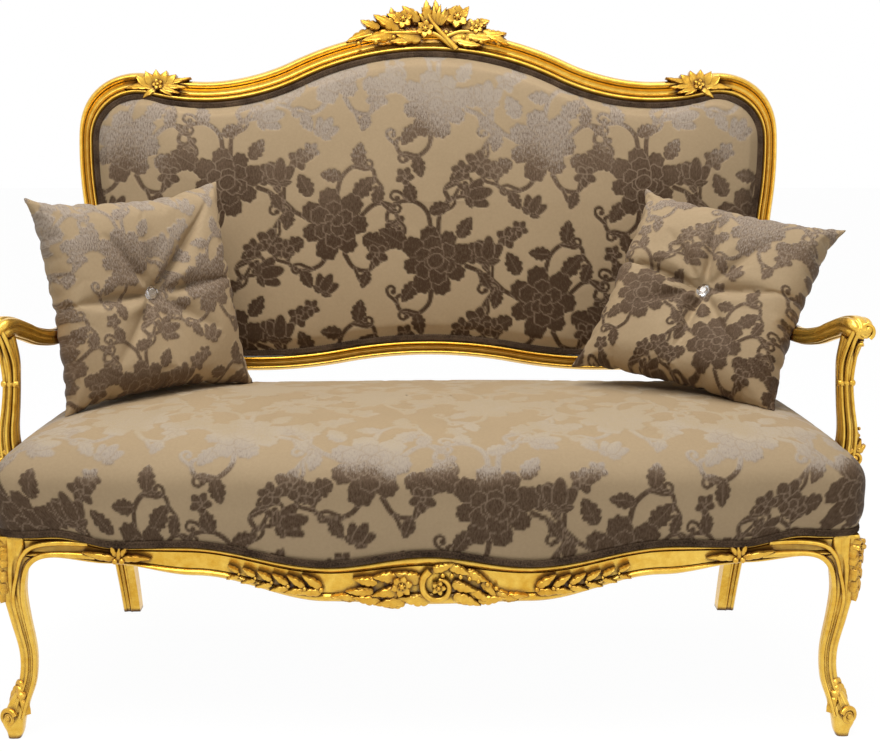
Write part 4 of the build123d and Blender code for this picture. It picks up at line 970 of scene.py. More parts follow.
class Damask:
    """Velvet motif on a satin ground: pile is 1 on velvet, line is 1 on petal edges and veins."""

    def __init__(self):
        self.shape = (round(REPEAT[1] / GRAIN), round(REPEAT[0] / GRAIN))
        self.pile = np.zeros(self.shape)
        self.line = np.zeros(self.shape)

    def paint(self, centre, reach, inside):
        """Draws a shape and its copies in the repeat; inside gives depth within the shape, and veins."""
        high, wide = self.shape
        for i in (-1, 0, 1):
            for j in (-2, -1, 0, 1, 2):
                cx, cy = centre[0] + i * REPEAT[0], centre[1] + i * DROP + j * REPEAT[1]
                x0, x1 = grid_span(cx, reach, wide)
                y0, y1 = grid_span(cy, reach, high)
                if x0 >= x1 or y0 >= y1:
                    continue
                x, y = np.meshgrid(np.arange(x0, x1) * GRAIN - cx, np.arange(y0, y1) * GRAIN - cy)
                depth, vein = inside(x, y)
                window = (slice(y0, y1), slice(x0, x1))
                fill = np.clip(depth / 0.0009 + 0.5, 0, 1)
                edge = fill * np.clip(1 - (depth - 0.0007) / 0.0012, 0, 1) * self.pile[window]
                self.pile[window] = np.maximum(self.pile[window], fill)
                self.line[window] = self.line[window] * (1 - fill) + np.maximum(edge, vein * fill)

    def petal(self, centre, angle, length, width, lobes=3, depth_of_lobes=0.075):
        """Round petal with a lobed outer edge and fine rays."""
        a = radians(angle)

        def inside(x, y):
            s = (x * cos(a) + y * sin(a)) / length * 2 - 1
            t = (y * cos(a) - x * sin(a)) / width * 2
            turn = np.arctan2(t, s)
            edge = 1 + depth_of_lobes * np.cos(lobes * turn * 1.6) * np.clip(0.4 + np.cos(turn), 0, 1)
            depth = (edge - (np.abs(s) ** 2.3 + np.abs(t) ** 2.3) ** (1 / 2.3)) * min(length, width) / 2
            rays = np.clip(1 - np.abs(np.sin(5.5 * t)) * width / 0.0042, 0, 1)
            return depth, rays * (s > -0.2) * (s < 0.55) * 0.22

        self.paint(centre, 1.15 * length + 0.6 * width, inside)

    def leaf(self, centre, angle, length, width, teeth=4):
        """Lobed leaf with a midrib and side veins."""
        a = radians(angle)

        def inside(x, y):
            s = (x * cos(a) + y * sin(a)) / length
            t = y * cos(a) - x * sin(a)
            c = np.clip(s, 0.001, 0.999)
            half = width / 2 * np.sin(pi * c**0.8) ** 0.75
            half = half * (0.80 + 0.34 * np.abs(np.sin(pi * teeth * c)) ** 0.7)
            depth = np.where((s > 0) & (s < 1), half - np.abs(t), -1)
            rib = np.clip(1.5 - np.abs(t) / 0.0007, 0, 1) * (s > 0.08) * (s < 0.92)
            slant = s - 0.5 * np.abs(t) / length - 0.1
            side = np.clip(1 - np.abs(np.sin(pi * teeth * slant)) * 9, 0, 1)
            return depth, 0.5 * np.maximum(rib, 0.6 * side * (np.abs(t) < 0.7 * half))

        self.paint(centre, 1.1 * length, inside)

    def stem(self, points, start, end, bulb):
        """Curved stem that tapers, with a round bulb where it curls to a stop."""
        path = smooth_through(np.asarray(points) * MM, 12)
        centre = path.mean(0)
        radii = np.linspace(start, end, len(path))
        radii[-1] = max(radii[-1], bulb)
        reach = np.abs(path - centre).max() + max(start, bulb)

        def inside(x, y):
            depth = np.full(x.shape, -1.0)
            for (px, py), r in zip(path - centre, radii):
                depth = np.maximum(depth, r - np.hypot(x - px, y - py))
            return depth, np.zeros_like(x)

        self.paint(centre, reach, inside)

    def tendrils(self, points, places):
        """Hooks that leave a stem to alternate sides and curl to a bulb."""
        path = smooth_through(np.asarray(points, float), 12)
        for i, share in enumerate(places):
            k = min(len(path) - 2, int(share * len(path)))
            ahead = path[k + 1] - path[k]
            ahead /= np.hypot(*ahead)
            side = np.array([-ahead[1], ahead[0]]) * (1 if i % 2 else -1)
            size = 1.0 - 0.25 * share
            hook = [path[k] + size * (a * ahead + b * side) for a, b in TENDRIL]
            self.stem(hook, 0.0034, 0.0024, 0.0050)

    def rosette(self, centre, rows, turn):
        """Rings of petals laid over each other: count, start, length, width, twist, lobes."""
        for count, start, length, width, twist, lobes in rows:
            for i in range(count):
                a = turn + twist + 360 * (i + 0.12 * sin(3.1 * i)) / count
                size = 1 + 0.12 * sin(2.3 * i + count)
                root = (centre[0] + start * cos(radians(a)), centre[1] + start * sin(radians(a)))
                self.petal(root, a, length * size, width * size, lobes)

    def flower(self, centre, radius, turn):
        """Five petals round a button."""
        for i in range(5):
            self.petal(centre, turn + 72 * i, radius, 0.80 * radius, 2)
        self.petal((centre[0] - 0.22 * radius, centre[1]), 0, 0.44 * radius, 0.44 * radius, 0, 0)

    def bud(self, root, angle, size):
        """Half-open flower: two outer petals and one between them."""
        for spread, length, width in ((34, 0.95, 0.50), (-34, 0.95, 0.50), (0, 1.05, 0.55)):
            self.petal(root, angle + spread, length * size, width * size, 2)
        for spread in (75, -75):
            self.leaf(root, angle + spread, 0.55 * size, 0.30 * size, 3)

    def sample(self, u, v):
        """Pile and line at cloth places, between grid points."""
        column = np.floor(u / REPEAT[0])
        x = (u - column * REPEAT[0]) / GRAIN
        y = ((v - column * DROP) % REPEAT[1]) / GRAIN
        i, j = np.floor(x).astype(int), np.floor(y).astype(int)
        fx, fy = x - i, y - j
        high, wide = self.shape
        i0, i1 = np.clip(i, 0, wide - 1), np.clip(i + 1, 0, wide - 1)
        j0, j1 = j % high, (j + 1) % high
        found = []
        for grid in (self.pile, self.line):
            low = grid[j0, i0] * (1 - fx) + grid[j0, i1] * fx
            found.append(low * (1 - fy) + (grid[j1, i0] * (1 - fx) + grid[j1, i1] * fx) * fy)
        return found


def draw_damask():
    """Two great flowers on scrolling stems, with lobed leaves, buds and small flowers."""
    cloth = Damask()
    stems = (
        ((100, 195), (103, 232), (122, 258), (152, 266)),
        ((88, 198), (80, 236), (54, 256), (22, 250), (8, 226), (22, 212), (34, 224)),
        ((88, 100), (82, 72), (58, 54), (32, 62), (26, 84), (42, 90)),
        ((240, 84), (208, 98), (190, 84), (176, 62)),
        ((214, 98), (192, 122), (187, 148)),
        ((330, 86), (358, 110), (386, 108), (398, 84), (382, 72)),
        ((290, 128), (300, 160), (326, 180), (354, 172), (356, 150), (340, 148)),
        ((276, 22), (258, 0), (228, -8), (204, 6), (210, 24)),
        ((304, 22), (320, -2), (346, -8), (362, 8)),
        ((150, 140), (176, 128), (190, 104)),
        ((120, 258), (112, 276), (126, 290), (140, 282)),
    )
    for points in stems:
        cloth.stem(points, 0.0044, 0.0034, 0.0062)
        cloth.tendrils(points, (0.36, 0.72))
    leaves = (
        (146, 152, 28, 62, 38), (44, 176, 150, 58, 34), (136, 190, 58, 44, 26), (60, 112, 235, 44, 26),
        (232, 46, 205, 46, 28), (336, 52, -24, 54, 34), (244, 124, 118, 46, 28), (322, 122, 48, 50, 30),
        (84, 236, 20, 40, 24), (56, 254, 110, 40, 24), (60, 56, 285, 40, 24), (208, 98, 255, 36, 22),
        (326, 180, 80, 42, 26), (300, 160, 175, 40, 24), (228, -8, 300, 36, 22), (358, 110, 70, 38, 22),
        (176, 128, 300, 34, 20), (346, -8, 250, 34, 20),
    )
    for x, y, angle, length, width in leaves:
        cloth.leaf((x * MM, y * MM), angle, length * MM, width * MM)
    flowers = (
        (170, 44, 24), (142, 30, 19), (196, 30, 18), (362, 20, 20), (222, 190, 20), (244, 206, 16),
        (40, 20, 17),
    )
    for x, y, radius in flowers:
        cloth.flower((x * MM, y * MM), radius * MM, 25 * x)
    for x, y, angle, size in ((187, 146, 86, 44), (150, 264, 12, 44), (262, 232, 60, 36)):
        cloth.bud((x * MM, y * MM), angle, size * MM)
    cloth.rosette(
        (0.095, 0.150),
        ((8, 0.024, 0.038, 0.034, 0, 5), (6, 0.010, 0.031, 0.031, 25, 4), (3, 0.000, 0.024, 0.026, 70, 4)),
        14,
    )
    cloth.petal((0.082, 0.142), 30, 0.030, 0.026, 0, 0)
    cloth.rosette(
        (0.285, 0.075),
        ((7, 0.022, 0.040, 0.036, 10, 5), (6, 0.008, 0.034, 0.030, 0, 4), (4, -0.003, 0.026, 0.022, 40, 4)),
        90,
    )
    return cloth


# Upholstery

PILE_HEIGHT = 0.0009
LINE_SINK = 0.55                   # how far petal edges and veins sink into the pile, as a share


def cloth_piece(name, points, faces, cloth_uv, nap, **options):
    """A piece of damask: the velvet stands up from the ground, and its art is kept on the points."""
    pile, line = DAMASK.sample(cloth_uv[:, 0], cloth_uv[:, 1])
    piece = new_piece(name, points, faces, smooth_angle=80, slot="damask", **options)
    mesh = piece.data
    normals = np.empty(len(points) * 3)
    mesh.vertices.foreach_get("normal", normals)
    lift = PILE_HEIGHT * pile * (1 - LINE_SINK * line)
    raised = np.asarray(points) + normals.reshape(-1, 3) * lift[:, None]
    mesh.vertices.foreach_set("co", raised.ravel())
    # the values of painted sheen and shade are kept on the points beside the art
    for label, values in (("pile", pile), ("line", line), ("nap", np.clip(nap, 0, 1))):
        mesh.attributes.new(label, "FLOAT", "POINT").data.foreach_set("value", values.astype(np.float32))
    loops = np.empty(len(mesh.loops), int)
    mesh.loops.foreach_get("vertex_index", loops)
    mesh.uv_layers.new(name="cloth").data.foreach_set("uv", cloth_uv[loops].astype(np.float32).ravel())
    mesh.materials.append(MATERIALS["damask"])
    mesh.update()
    return piece


def rings_to_ridge(edge, ridge_x, ridge_y, shares):
    """Places from a closed edge (share 0) to a ridge line (share 1)."""
    ridge = np.stack([np.clip(edge[:, 0], -ridge_x, ridge_x), np.full(len(edge), ridge_y)], -1)
    return edge[None] + (ridge - edge)[None] * np.asarray(shares)[:, None, None]


def rounded(start, knee, end, t):
    """Curve from start to end that bends toward the knee."""
    t = t[:, None]
    return (1 - t) ** 2 * start + 2 * t * (1 - t) * knee + t**2 * end


def other_side(rows):
    """The same places mirrored to the left, in reverse order."""
    return (rows * (-1, 1))[::-1]


def seat_edge():
    """Plan of the seat from the left end of the front, anticlockwise, close set at the front."""
    reach = OUTER_X - SEAT_CORNER_R
    front = np.array([(x, front_face(x)) for x in np.linspace(-reach, reach, 560)])
    corner_end = FRONT_Y + SEAT_CORNER_R
    side = np.array([(side_face(y), y) for y in np.linspace(corner_end, REAR_Y - 0.026, 150)])
    corner = rounded(front[-1], np.array([OUTER_X, FRONT_Y]), side[0], np.linspace(0, 1, 34)[1:-1])
    rear_end = np.array([REAR_X - 0.026, REAR_Y])
    rear_corner = rounded(side[-1], np.array([REAR_X, REAR_Y]), rear_end, np.linspace(0, 1, 10)[1:])
    rear = np.array([(x, REAR_Y) for x in np.linspace(rear_end[0], -rear_end[0], 160)[1:-1]])
    right = (corner, side, rear_corner)
    return np.vstack([front, *right, rear, *(other_side(rows) for rows in right[::-1])])


def seat_profile():
    """Inset and height of the padded seat from the rails' top to the ridge, evenly spaced."""
    rise = SEAT_HEIGHT - RAIL_TOP
    rows = [(inset, RAIL_TOP + share * rise) for share, inset in SEAT_ROLL]
    curve = smooth_through(rows + [(SEAT_REACH, SEAT_HEIGHT + 0.001)], 40)
    run = np.concatenate([[0], np.cumsum(np.hypot(*np.diff(curve, axis=0).T))])
    even = np.linspace(0, run[-1], 175)
    return np.stack([np.interp(even, run, curve[:, 0]), np.interp(even, run, curve[:, 1])], -1)


def seat_cover():
    """Damask over the padded seat: down over the rails to the show wood, and up to the ridge."""
    edge = seat_edge()
    ridge_x, ridge_y = OUTER_X - SEAT_REACH, (FRONT_Y + REAR_Y) / 2
    upper = seat_profile()
    at_front = edge[:, 1] < RAIL_BACK_Y
    low = np.where(at_front & (np.abs(edge[:, 0]) < FRONT_HALF), apron_top(edge[:, 0]), WOOD_TOP) + 0.001
    lower_shares = np.linspace(0, 1, 22)[:-1]
    lower_inset = -0.009 * np.sin(lower_shares * pi / 2) ** 1.3
    plan_low = rings_to_ridge(edge, ridge_x, ridge_y, lower_inset / SEAT_REACH)
    z_low = low[None] + (RAIL_TOP - low)[None] * lower_shares[:, None]
    plan_up = rings_to_ridge(edge, ridge_x, ridge_y, upper[:, 0] / SEAT_REACH)
    z_up = np.broadcast_to(upper[:, 1:], plan_up.shape[:2])
    rear = np.clip((plan_up[..., 1] - BACK_Y + 0.05) / 0.07, 0, 1)
    waver = 0.0012 * np.sin(9 * plan_up[..., 0] + 1) * np.sin(11 * plan_up[..., 1]) * (upper[:, :1] > 0.03)
    z_up = z_up + waver - 0.004 * rear
    plan, z = np.concatenate([plan_low, plan_up]), np.concatenate([z_low, z_up])
    rings, around = plan.shape[:2]
    points = np.concatenate([plan, z[..., None]], -1)
    step = np.linalg.norm(np.diff(points, axis=0), axis=2)
    run = np.concatenate([np.zeros((1, around)), np.cumsum(step, 0)])
    fixed = len(lower_shares) + int(np.argmax(upper[:, 0] > 0.06))
    out = edge - np.stack([np.clip(edge[:, 0], -ridge_x, ridge_x), np.full(around, ridge_y)], -1)
    out /= np.linalg.norm(out, axis=1)[:, None]
    uv = plan[fixed][None] + out[None] * (run[fixed][None] - run)[..., None]
    uv = np.where(np.arange(rings)[:, None, None] > fixed, plan, uv)
    rise = np.clip((z - RAIL_TOP) / (SEAT_HEIGHT - RAIL_TOP), 0, 1)
    ragged = 0.05 * np.sin(41 * uv[..., 0] + 3 * np.sin(23 * uv[..., 1])) + 0.03 * np.sin(97 * uv[..., 0])
    # painted sheen and shade: pale on the seat's top, dark down its front, as light falls
    nap = np.interp(rise + ragged, *SEAT_PAINTED_SHEEN_SHADE)
    piece = cloth_piece(
        "seat_damask",
        points.reshape(-1, 3),
        tube_faces(rings, around, closed=False),
        uv.reshape(-1, 2),
        nap.ravel(),
        replaces=["seat_cover", "seat_stuffing"],
    )
    return piece


def back_edge(inset, spacing):
    """Edge of the padded back, clockwise from the crown."""
    right, _ = tangent_arcs((0, SIGHT_TOP - inset), (1, 0), sight_steps(inset), spacing)
    return np.vstack([right, (right * (-1, 1))[-2:0:-1]])


def back_cover():
    """Damask over the padded back, from the show wood to the ridge."""
    edge = back_edge(0.0005, 0.0024)
    shares = np.linspace(0, 1, 125)
    plan = rings_to_ridge(edge, RIDGE_X, RIDGE_V, shares)
    inset = np.linalg.norm(plan - edge[None], axis=2)
    rows = [(at, share * BACK_CROWN) for share, at in BACK_ROLL]
    curve = smooth_through(rows + [(0.30, BACK_CROWN + 0.001)], 12)
    depth = np.interp(inset, curve[:, 0], curve[:, 1])
    points = on_back(plan[..., 0], plan[..., 1], depth)
    u, v = plan[..., 0], plan[..., 1]
    ragged = 0.030 * np.sin(17 * u + 2 * np.sin(13 * v)) + 0.015 * np.sin(61 * u)
    # painted sheen and shade: pale high on the back, dark low down, as light falls
    nap = np.interp(v + ragged, *BACK_PAINTED_SHEEN_SHADE)
    piece = cloth_piece(
        "back_damask",
        points.reshape(-1, 3),
        tube_faces(len(shares), len(edge), closed=False),
        plan.reshape(-1, 2) + BACK_SHIFT,
        nap.ravel(),
        replaces=["back_cover", "back_stuffing"],
    )
    return piece


def pillow_axes(yaw, tilt, turn):
    """Across, up and out of a cushion that is turned, leaned back and rolled."""
    yaw, tilt, turn = radians(yaw), radians(tilt), radians(turn)
    normal = np.array([sin(yaw) * cos(tilt), -cos(yaw) * cos(tilt), sin(tilt)])
    flat = np.array([cos(yaw), sin(yaw), 0])
    rise = np.cross(normal, flat)
    return cos(turn) * flat + sin(turn) * rise, cos(turn) * rise - sin(turn) * flat, normal


def surface_of(piece):
    """A piece's faces, to cast rays at."""
    mesh = piece.data
    return BVHTree.FromPolygons([v.co for v in mesh.vertices], [p.vertices for p in mesh.polygons])


def pillow_shape(creases, count=80):
    """Points and faces of a cushion before it is stuffed: drawn-in sides, a tuft and its creases."""
    grid = np.sin(np.linspace(-pi / 2, pi / 2, count)) * 0.35 + np.linspace(-1, 1, count) * 0.65
    a, b = np.meshgrid(grid, grid, indexing="ij")
    half = PILLOW_CUT * PILLOW / 2
    waist = PILLOW_WAIST / half
    x = half * a * (1 - waist * (1 - b**2))
    y = half * b * (1 - waist * (1 - a**2))
    plump = (np.clip(1 - np.abs(a) ** 2.4, 0, 1) * np.clip(1 - np.abs(b) ** 2.4, 0, 1)) ** 0.55
    puckers = np.sin(2 * pi * x / 0.031 + 1.3 * np.sin(40 * x)) * np.clip(np.abs(b) * 5 - 3.9, 0, 1)
    puckers = puckers + np.sin(2 * pi * y / 0.029 + 1.1 * np.sin(37 * y)) * np.clip(np.abs(a) * 5 - 3.9, 0, 1)
    z = PILLOW_START * PILLOW_THICK / 2 * plump * (1 + 0.10 * puckers)
    r, turn = np.hypot(x, y), np.arctan2(y, x)
    front = z - (TUFT_DEPTH - (1 - PILLOW_START) * PILLOW_THICK / 2) * np.exp(-((r / TUFT_R) ** 1.2))
    for crease, length, depth in creases:
        apart = np.abs((turn - radians(crease) + pi) % (2 * pi) - pi) * r
        along = np.exp(-((r / length) ** 2)) * np.clip(r / 0.02, 0, 1)
        fold = 1.25 * np.exp(-((apart / 0.007) ** 2)) - 0.35 * np.exp(-(((apart - 0.022) / 0.012) ** 2))
        front = front - depth * along * fold
    upper = np.stack([x, y, np.maximum(front, -0.3 * z)], -1).reshape(-1, 3)
    lower = np.stack([x, y, -z], -1).reshape(-1, 3)
    quads = grid_quads(count, count)
    rim = (np.maximum(np.abs(a), np.abs(b)) > 1 - 1e-9).ravel()
    below = np.where(rim, np.arange(a.size), np.arange(a.size) + a.size)
    faces = [tuple(quad) for quad in quads.tolist()]
    faces += [tuple(quad) for quad in below[quads[:, ::-1]].tolist()]
    return np.vstack([upper, lower]), faces


def stuffed(points, faces, grip):
    """Blows up a closed cover with cloth simulation, while the gripped place holds."""
    scene = bpy.context.scene
    mesh = bpy.data.meshes.new("loose_cover")
    mesh.from_pydata([tuple(p) for p in points], [], faces)
    cover = bpy.data.objects.new("loose_cover", mesh)
    scene.collection.objects.link(cover)
    remesh = cover.modifiers.new("even_mesh", "REMESH")
    remesh.mode = "VOXEL"
    remesh.voxel_size = COVER_GRAIN
    even = bpy.data.meshes.new_from_object(evaluated(cover))
    cover.modifiers.clear()
    cover.data = even
    start = coordinates(even)
    held = cover.vertex_groups.new(name="held")
    held.add([int(i) for i in np.flatnonzero(grip(start))], 1.0, "REPLACE")
    cloth = cover.modifiers.new("cloth", "CLOTH")
    for key, value in STUFFING.items():
        setattr(cloth.settings, key, value)
    cloth.settings.effector_weights.gravity = 0
    for number in range(1, STUFF_FRAMES + 1):
        scene.frame_set(number)
    step = coordinates(evaluated(cover).data) - start
    cover.modifiers.clear()
    scene.frame_set(1)
    length = np.linalg.norm(step, axis=1)[:, None]
    held_back = np.minimum(1, STUFF_MOST / np.maximum(length, 1e-9))
    even.vertices.foreach_set("co", (start + step * held_back).ravel())
    finer = cover.modifiers.new("finer", "SUBSURF")
    finer.levels = 1
    done = bpy.data.meshes.new_from_object(evaluated(cover))
    found = coordinates(done)
    found_faces = [tuple(face.vertices) for face in done.polygons]
    bpy.data.objects.remove(cover)
    for used in (mesh, even, done):
        bpy.data.meshes.remove(used)
    return found, found_faces


def near_tuft(points):
    """True where the crystal's thread holds the cover."""
    return (np.hypot(points[:, 0], points[:, 1]) < 0.014) & (points[:, 2] > -0.02)


def welted(points):
    """Draws the rim out to a thin seam all round, and the corners to ears."""
    half = PILLOW / 2
    a, b = points[:, 0] / half, points[:, 1] / half
    waist = PILLOW_WAIST / half
    rim = np.maximum(np.abs(a) / (1 - waist * (1 - b**2)), np.abs(b) / (1 - waist * (1 - a**2)))
    lip = np.clip((rim - 0.955) / 0.045, 0, 1)
    found = points.copy()
    found[:, :2] *= (1 + lip * WELT / half + EAR * np.minimum(np.abs(a * b), 1) ** 3)[:, None]
    found[:, 2] *= 1 - 0.55 * np.sin(pi * np.clip((rim - 0.90) / 0.075, 0, 1)) * 0.5
    return found


def pillow(side, centre, turns, cloth_shift, painted_sheen_shades, cover, seat, back):
    """Cushion leaned into its corner and flat only where it rests on the seat and the back."""
    points, faces = cover
    points = welted(points)
    along, up, normal = pillow_axes(*turns)
    place = np.asarray(centre) + points[:, :1] * along + points[:, 1:2] * up + points[:, 2:] * normal
    for i, p in enumerate(place):
        hit = seat.ray_cast(Vector((p[0], p[1], RAY_TOP)), Vector((0, 0, -1)))[0]
        if hit is not None and p[2] < hit.z + CLEAR:
            place[i, 2] = hit.z + CLEAR
        hit = back.ray_cast(Vector((p[0], RAY_FRONT, p[2])), Vector((0, 1, 0)))[0]
        if hit is not None and p[1] > hit.y - CLEAR:
            place[i, 1] = hit.y - CLEAR
    uv = points[:, :2] * PILLOW_MOTIF + cloth_shift
    # painted sheen and shade on the cushion, lighter toward its top, as light falls
    nap = np.interp(points[:, 1] + 0.03 * np.sin(31 * points[:, 0]), PILLOW_PAINTED_SHEEN_AT, painted_sheen_shades)
    piece = cloth_piece(
        f"{side}_scatter_cushion", place, faces, uv, nap, body=f"{side}_cushion", replaces=[f"{side}_pillow"]
    )


def braid(name, path, up, out, nodes):
    """Woven gimp: two strands that cross over a flat band, with a looped edge."""
    path, up, out = (np.asarray(rows, float) for rows in (path, up, out))
    run = np.concatenate([[0], np.cumsum(np.linalg.norm(np.diff(path, axis=0), axis=1))])
    even = np.arange(0, run[-1], 0.0011)

    def spread(rows):
        return np.stack([np.interp(even, run, rows[:, k]) for k in range(3)], -1)

    path, up, out = spread(path), spread(up), spread(out)
    turn = 2 * pi * even / GIMP_TWIST
    swing = 0.28 * np.sin(turn)
    rings = []
    for h in np.linspace(-0.5, 0.5, 9):
        loop = 1 + 0.10 * np.cos(2 * turn) * (abs(h) > 0.45)
        strand = np.exp(-(((h - swing) / 0.14) ** 2)) + np.exp(-(((h + swing) / 0.14) ** 2))
        lift = 0.0006 + 0.0019 * np.clip(strand, 0, 1.2) + 0.0005 * (abs(h) > 0.36)
        rings.append(path + up * (h * GIMP_HEIGHT * loop)[:, None] + out * lift[:, None])
    rings.append(path + up * 0.45 * GIMP_HEIGHT - out * 0.0012)
    rings.append(path - up * 0.45 * GIMP_HEIGHT - out * 0.0012)
    form = Form()
    form.tube(np.stack(rings, 1))
    piece = form.piece(name, slot="braid", replaces=nodes, smooth_angle=70)
    piece.data.materials.append(MATERIALS["braid"])


def seat_braid():
    """Braid round the front and the sides, in one length for the frame's three."""
    edge = seat_edge()
    tangent = np.gradient(np.vstack([edge[-1], edge, edge[0]]), axis=0)[1:-1]
    out = np.stack([tangent[:, 1], -tangent[:, 0], np.zeros(len(edge))], -1)
    out /= np.linalg.norm(out, axis=1)[:, None]
    at_front = (edge[:, 1] < RAIL_BACK_Y) & (np.abs(edge[:, 0]) < FRONT_HALF)
    z = np.where(at_front, apron_top(edge[:, 0]), WOOD_TOP) + 0.0005 + GIMP_HEIGHT / 2
    path = np.column_stack([edge + 0.0035 * out[:, :2], z])
    up = np.tile((0.0, 0.0, 1.0), (len(edge), 1))
    stop = BACK_Y - 0.010
    ahead = edge[:, 1] < stop
    last = int(np.argmin(ahead))
    first = len(edge) - int(np.argmin(ahead[::-1]))
    order = np.r_[np.arange(first, len(edge)), np.arange(0, last)]
    nodes = ["front_gimp", "left_rear_gimp", "right_rear_gimp"]
    braid("seat_front_braid", path[order], up[order], out[order], nodes)


def back_braid():
    """Length of braid all round the padded back."""
    right, headings = tangent_arcs((0, SIGHT_TOP - 0.006), (1, 0), sight_steps(0.006), 0.002)
    edge = np.vstack([right, (right * (-1, 1))[-2:0:-1], right[:1]])
    headings = np.vstack([headings, (headings * (1, -1))[-2:0:-1], headings[:1]])
    inward = np.stack([headings[:, 1], -headings[:, 0]], -1)
    path = on_back(edge[:, 0], edge[:, 1], 0.0044)
    up = on_back(edge[:, 0] - inward[:, 0], edge[:, 1] - inward[:, 1], 0.0044) - path
    out = np.tile((0.0, -cos(LEAN), sin(LEAN)), (len(edge), 1))
    braid("back_braid", path, up, out, ["back_gimp"])


def outside_back():
    """Plain cloth stretched over the outside of the back, turned in at its edge, with a welt round it."""
    edge = back_edge(0.0005, 0.008)
    shares = np.r_[0, np.linspace(0.004, 1, 40) ** 1.4]
    plan = rings_to_ridge(edge, RIDGE_X, RIDGE_V, shares)
    inset = np.linalg.norm(plan - edge[None], axis=2)
    depth = -CLOTH_BACK - BACK_BULGE * np.sin(pi / 2 * np.clip(inset / 0.2, 0, 1))
    depth[0] = HEM - CLOTH_BACK
    faces = [face[::-1] for face in tube_faces(len(shares), len(edge), closed=False)]
    points = on_back(plan[..., 0], plan[..., 1], depth).reshape(-1, 3)
    nodes = ["outside_back"]
    cloth = new_piece("outside_back_cloth", points, faces, slot="plain_back_cloth", replaces=nodes)
    path = back_edge(0.004, 0.004)
    path = np.vstack([path, path[:1]])
    ahead = np.gradient(path, axis=0)
    ahead /= np.linalg.norm(ahead, axis=1)[:, None]
    form = Form()
    turn = np.linspace(0, 2 * pi, 12, endpoint=False)
    across = BACK_WELT * np.cos(turn)[None]
    u = path[:, :1] - ahead[:, 1:] * across
    v = path[:, 1:] + ahead[:, :1] * across
    form.tube(on_back(u, v, -CLOTH_BACK - 0.001 + BACK_WELT * np.sin(turn)[None]))
    welt = form.piece("outside_back_welt", slot="plain_back_cloth")
    for piece in (cloth, welt):
        piece.data.materials.append(MATERIALS["plain_back_cloth"])
    x, y = edge.T
    area = abs(np.sum(x * np.roll(y, -1) - y * np.roll(x, -1))) / 2
    area += HEM * float(np.linalg.norm(np.diff(path, axis=0), axis=1).sum())


def dust_cloth():
    """Black lining stretched under the seat, with a slight sag between the rails."""
    (_, front, low), (front_half, rear, _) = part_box("dust_cover")
    rear_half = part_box("right_rear_block")[1][0]
    a, b = np.linspace(-1, 1, 97), np.linspace(-1, 1, 41)
    y = front + (rear - front) * (b + 1) / 2
    taper = np.clip((y - front) / (BACK_Y - 0.02 - front), 0, 1)
    half = front_half + (rear_half - front_half) * taper
    x = half[:, None] * a[None]
    slack = (1 - a**2)[None] * (1 - b**2)[:, None]
    drag = 0.0005 * np.sin(90 * x) * (b**4)[:, None] * (1 - a**2)[None]
    z = low + 0.0003 - DUST_SAG * slack + drag
    points = np.stack([x, np.broadcast_to(y[:, None], x.shape), z], -1).reshape(-1, 3)
    quads = grid_quads(*x.shape).tolist()
    piece = new_piece("dust_cover_cloth", points, quads, slot="black_lining", replaces=["dust_cover"])
    piece.data.materials.append(MATERIALS["black_lining"])


def crystal(side, centre, turns):
    """Faceted glass button in the tuft of a cushion."""
    along, up, normal = pillow_axes(*turns)
    radius = CRYSTAL / 2
    rings = []
    for shift, wide, rise in CRYSTAL_RINGS:
        turn = 2 * pi * (np.arange(12) + shift) / 12
        rings.append(
            np.asarray(centre)
            + radius * wide * (np.cos(turn)[:, None] * along + np.sin(turn)[:, None] * up)
            + (CRYSTAL_SEAT + radius * rise) * normal
        )
    form = Form()
    form.tube(rings)
    piece = form.piece(
        f"{side}_crystal_button",
        body=f"{side}_cushion",
        slot="crystal",
        replaces=[f"{side}_pillow_crystal"],
        smooth_angle=5,
    )
    piece.data.materials.append(MATERIALS["crystal"])


# Materials

MATERIALS = {}


def feed(tree, socket, value):
    """Links a socket to another node's output, or sets it to a constant."""
    if hasattr(value, "is_output"):
        tree.links.new(value, socket)
    else:
        socket.default_value = value


def add_node(tree, kind, inputs=None, **settings):
    """New node with its settings and its inputs."""
    node = tree.nodes.new("ShaderNode" + kind)
    for key, value in settings.items():
        setattr(node, key, value)
    for key, value in (inputs or {}).items():
        feed(tree, node.inputs[key], value)
    return node


def arithmetic(tree, operation, *values, clamp=False):
    """Result of a sum on sockets or constants."""
    node = add_node(tree, "Math", dict(enumerate(values)), operation=operation, use_clamp=clamp)
    return node.outputs[0]


def new_material(name):
    """Material with one principled surface; its tree and that surface."""
    material = bpy.data.materials.new(name)
    material.use_nodes = True
    tree = material.node_tree
    tree.nodes.clear()
    surface = add_node(tree, "BsdfPrincipled")
    add_node(tree, "OutputMaterial", {"Surface": surface.outputs[0]})
    MATERIALS[name] = material
    return tree, surface


def cloudy_group():
    """Slow change of tone over a surface, with finer mottling."""
    group = bpy.data.node_groups.new("cloudy_tone", "ShaderNodeTree")
    for label in ("Broad", "Fine"):
        group.interface.new_socket(label, in_out="INPUT", socket_type="NodeSocketFloat")
    group.interface.new_socket("Tone", in_out="OUTPUT", socket_type="NodeSocketFloat")
    given = group.nodes.new("NodeGroupInput")
    given_out = group.nodes.new("NodeGroupOutput")
    place = add_node(group, "TexCoord").outputs["Object"]
    tones = []
    for label, detail in (("Broad", 3.0), ("Fine", 4.0)):
        scale = given.outputs[label]
        noise = add_node(group, "TexNoise", {"Vector": place, "Scale": scale, "Detail": detail})
        tones.append(noise.outputs[0])
    half = arithmetic(group, "MULTIPLY", arithmetic(group, "ADD", *tones), 0.5)
    group.links.new(half, given_out.inputs["Tone"])
    return group


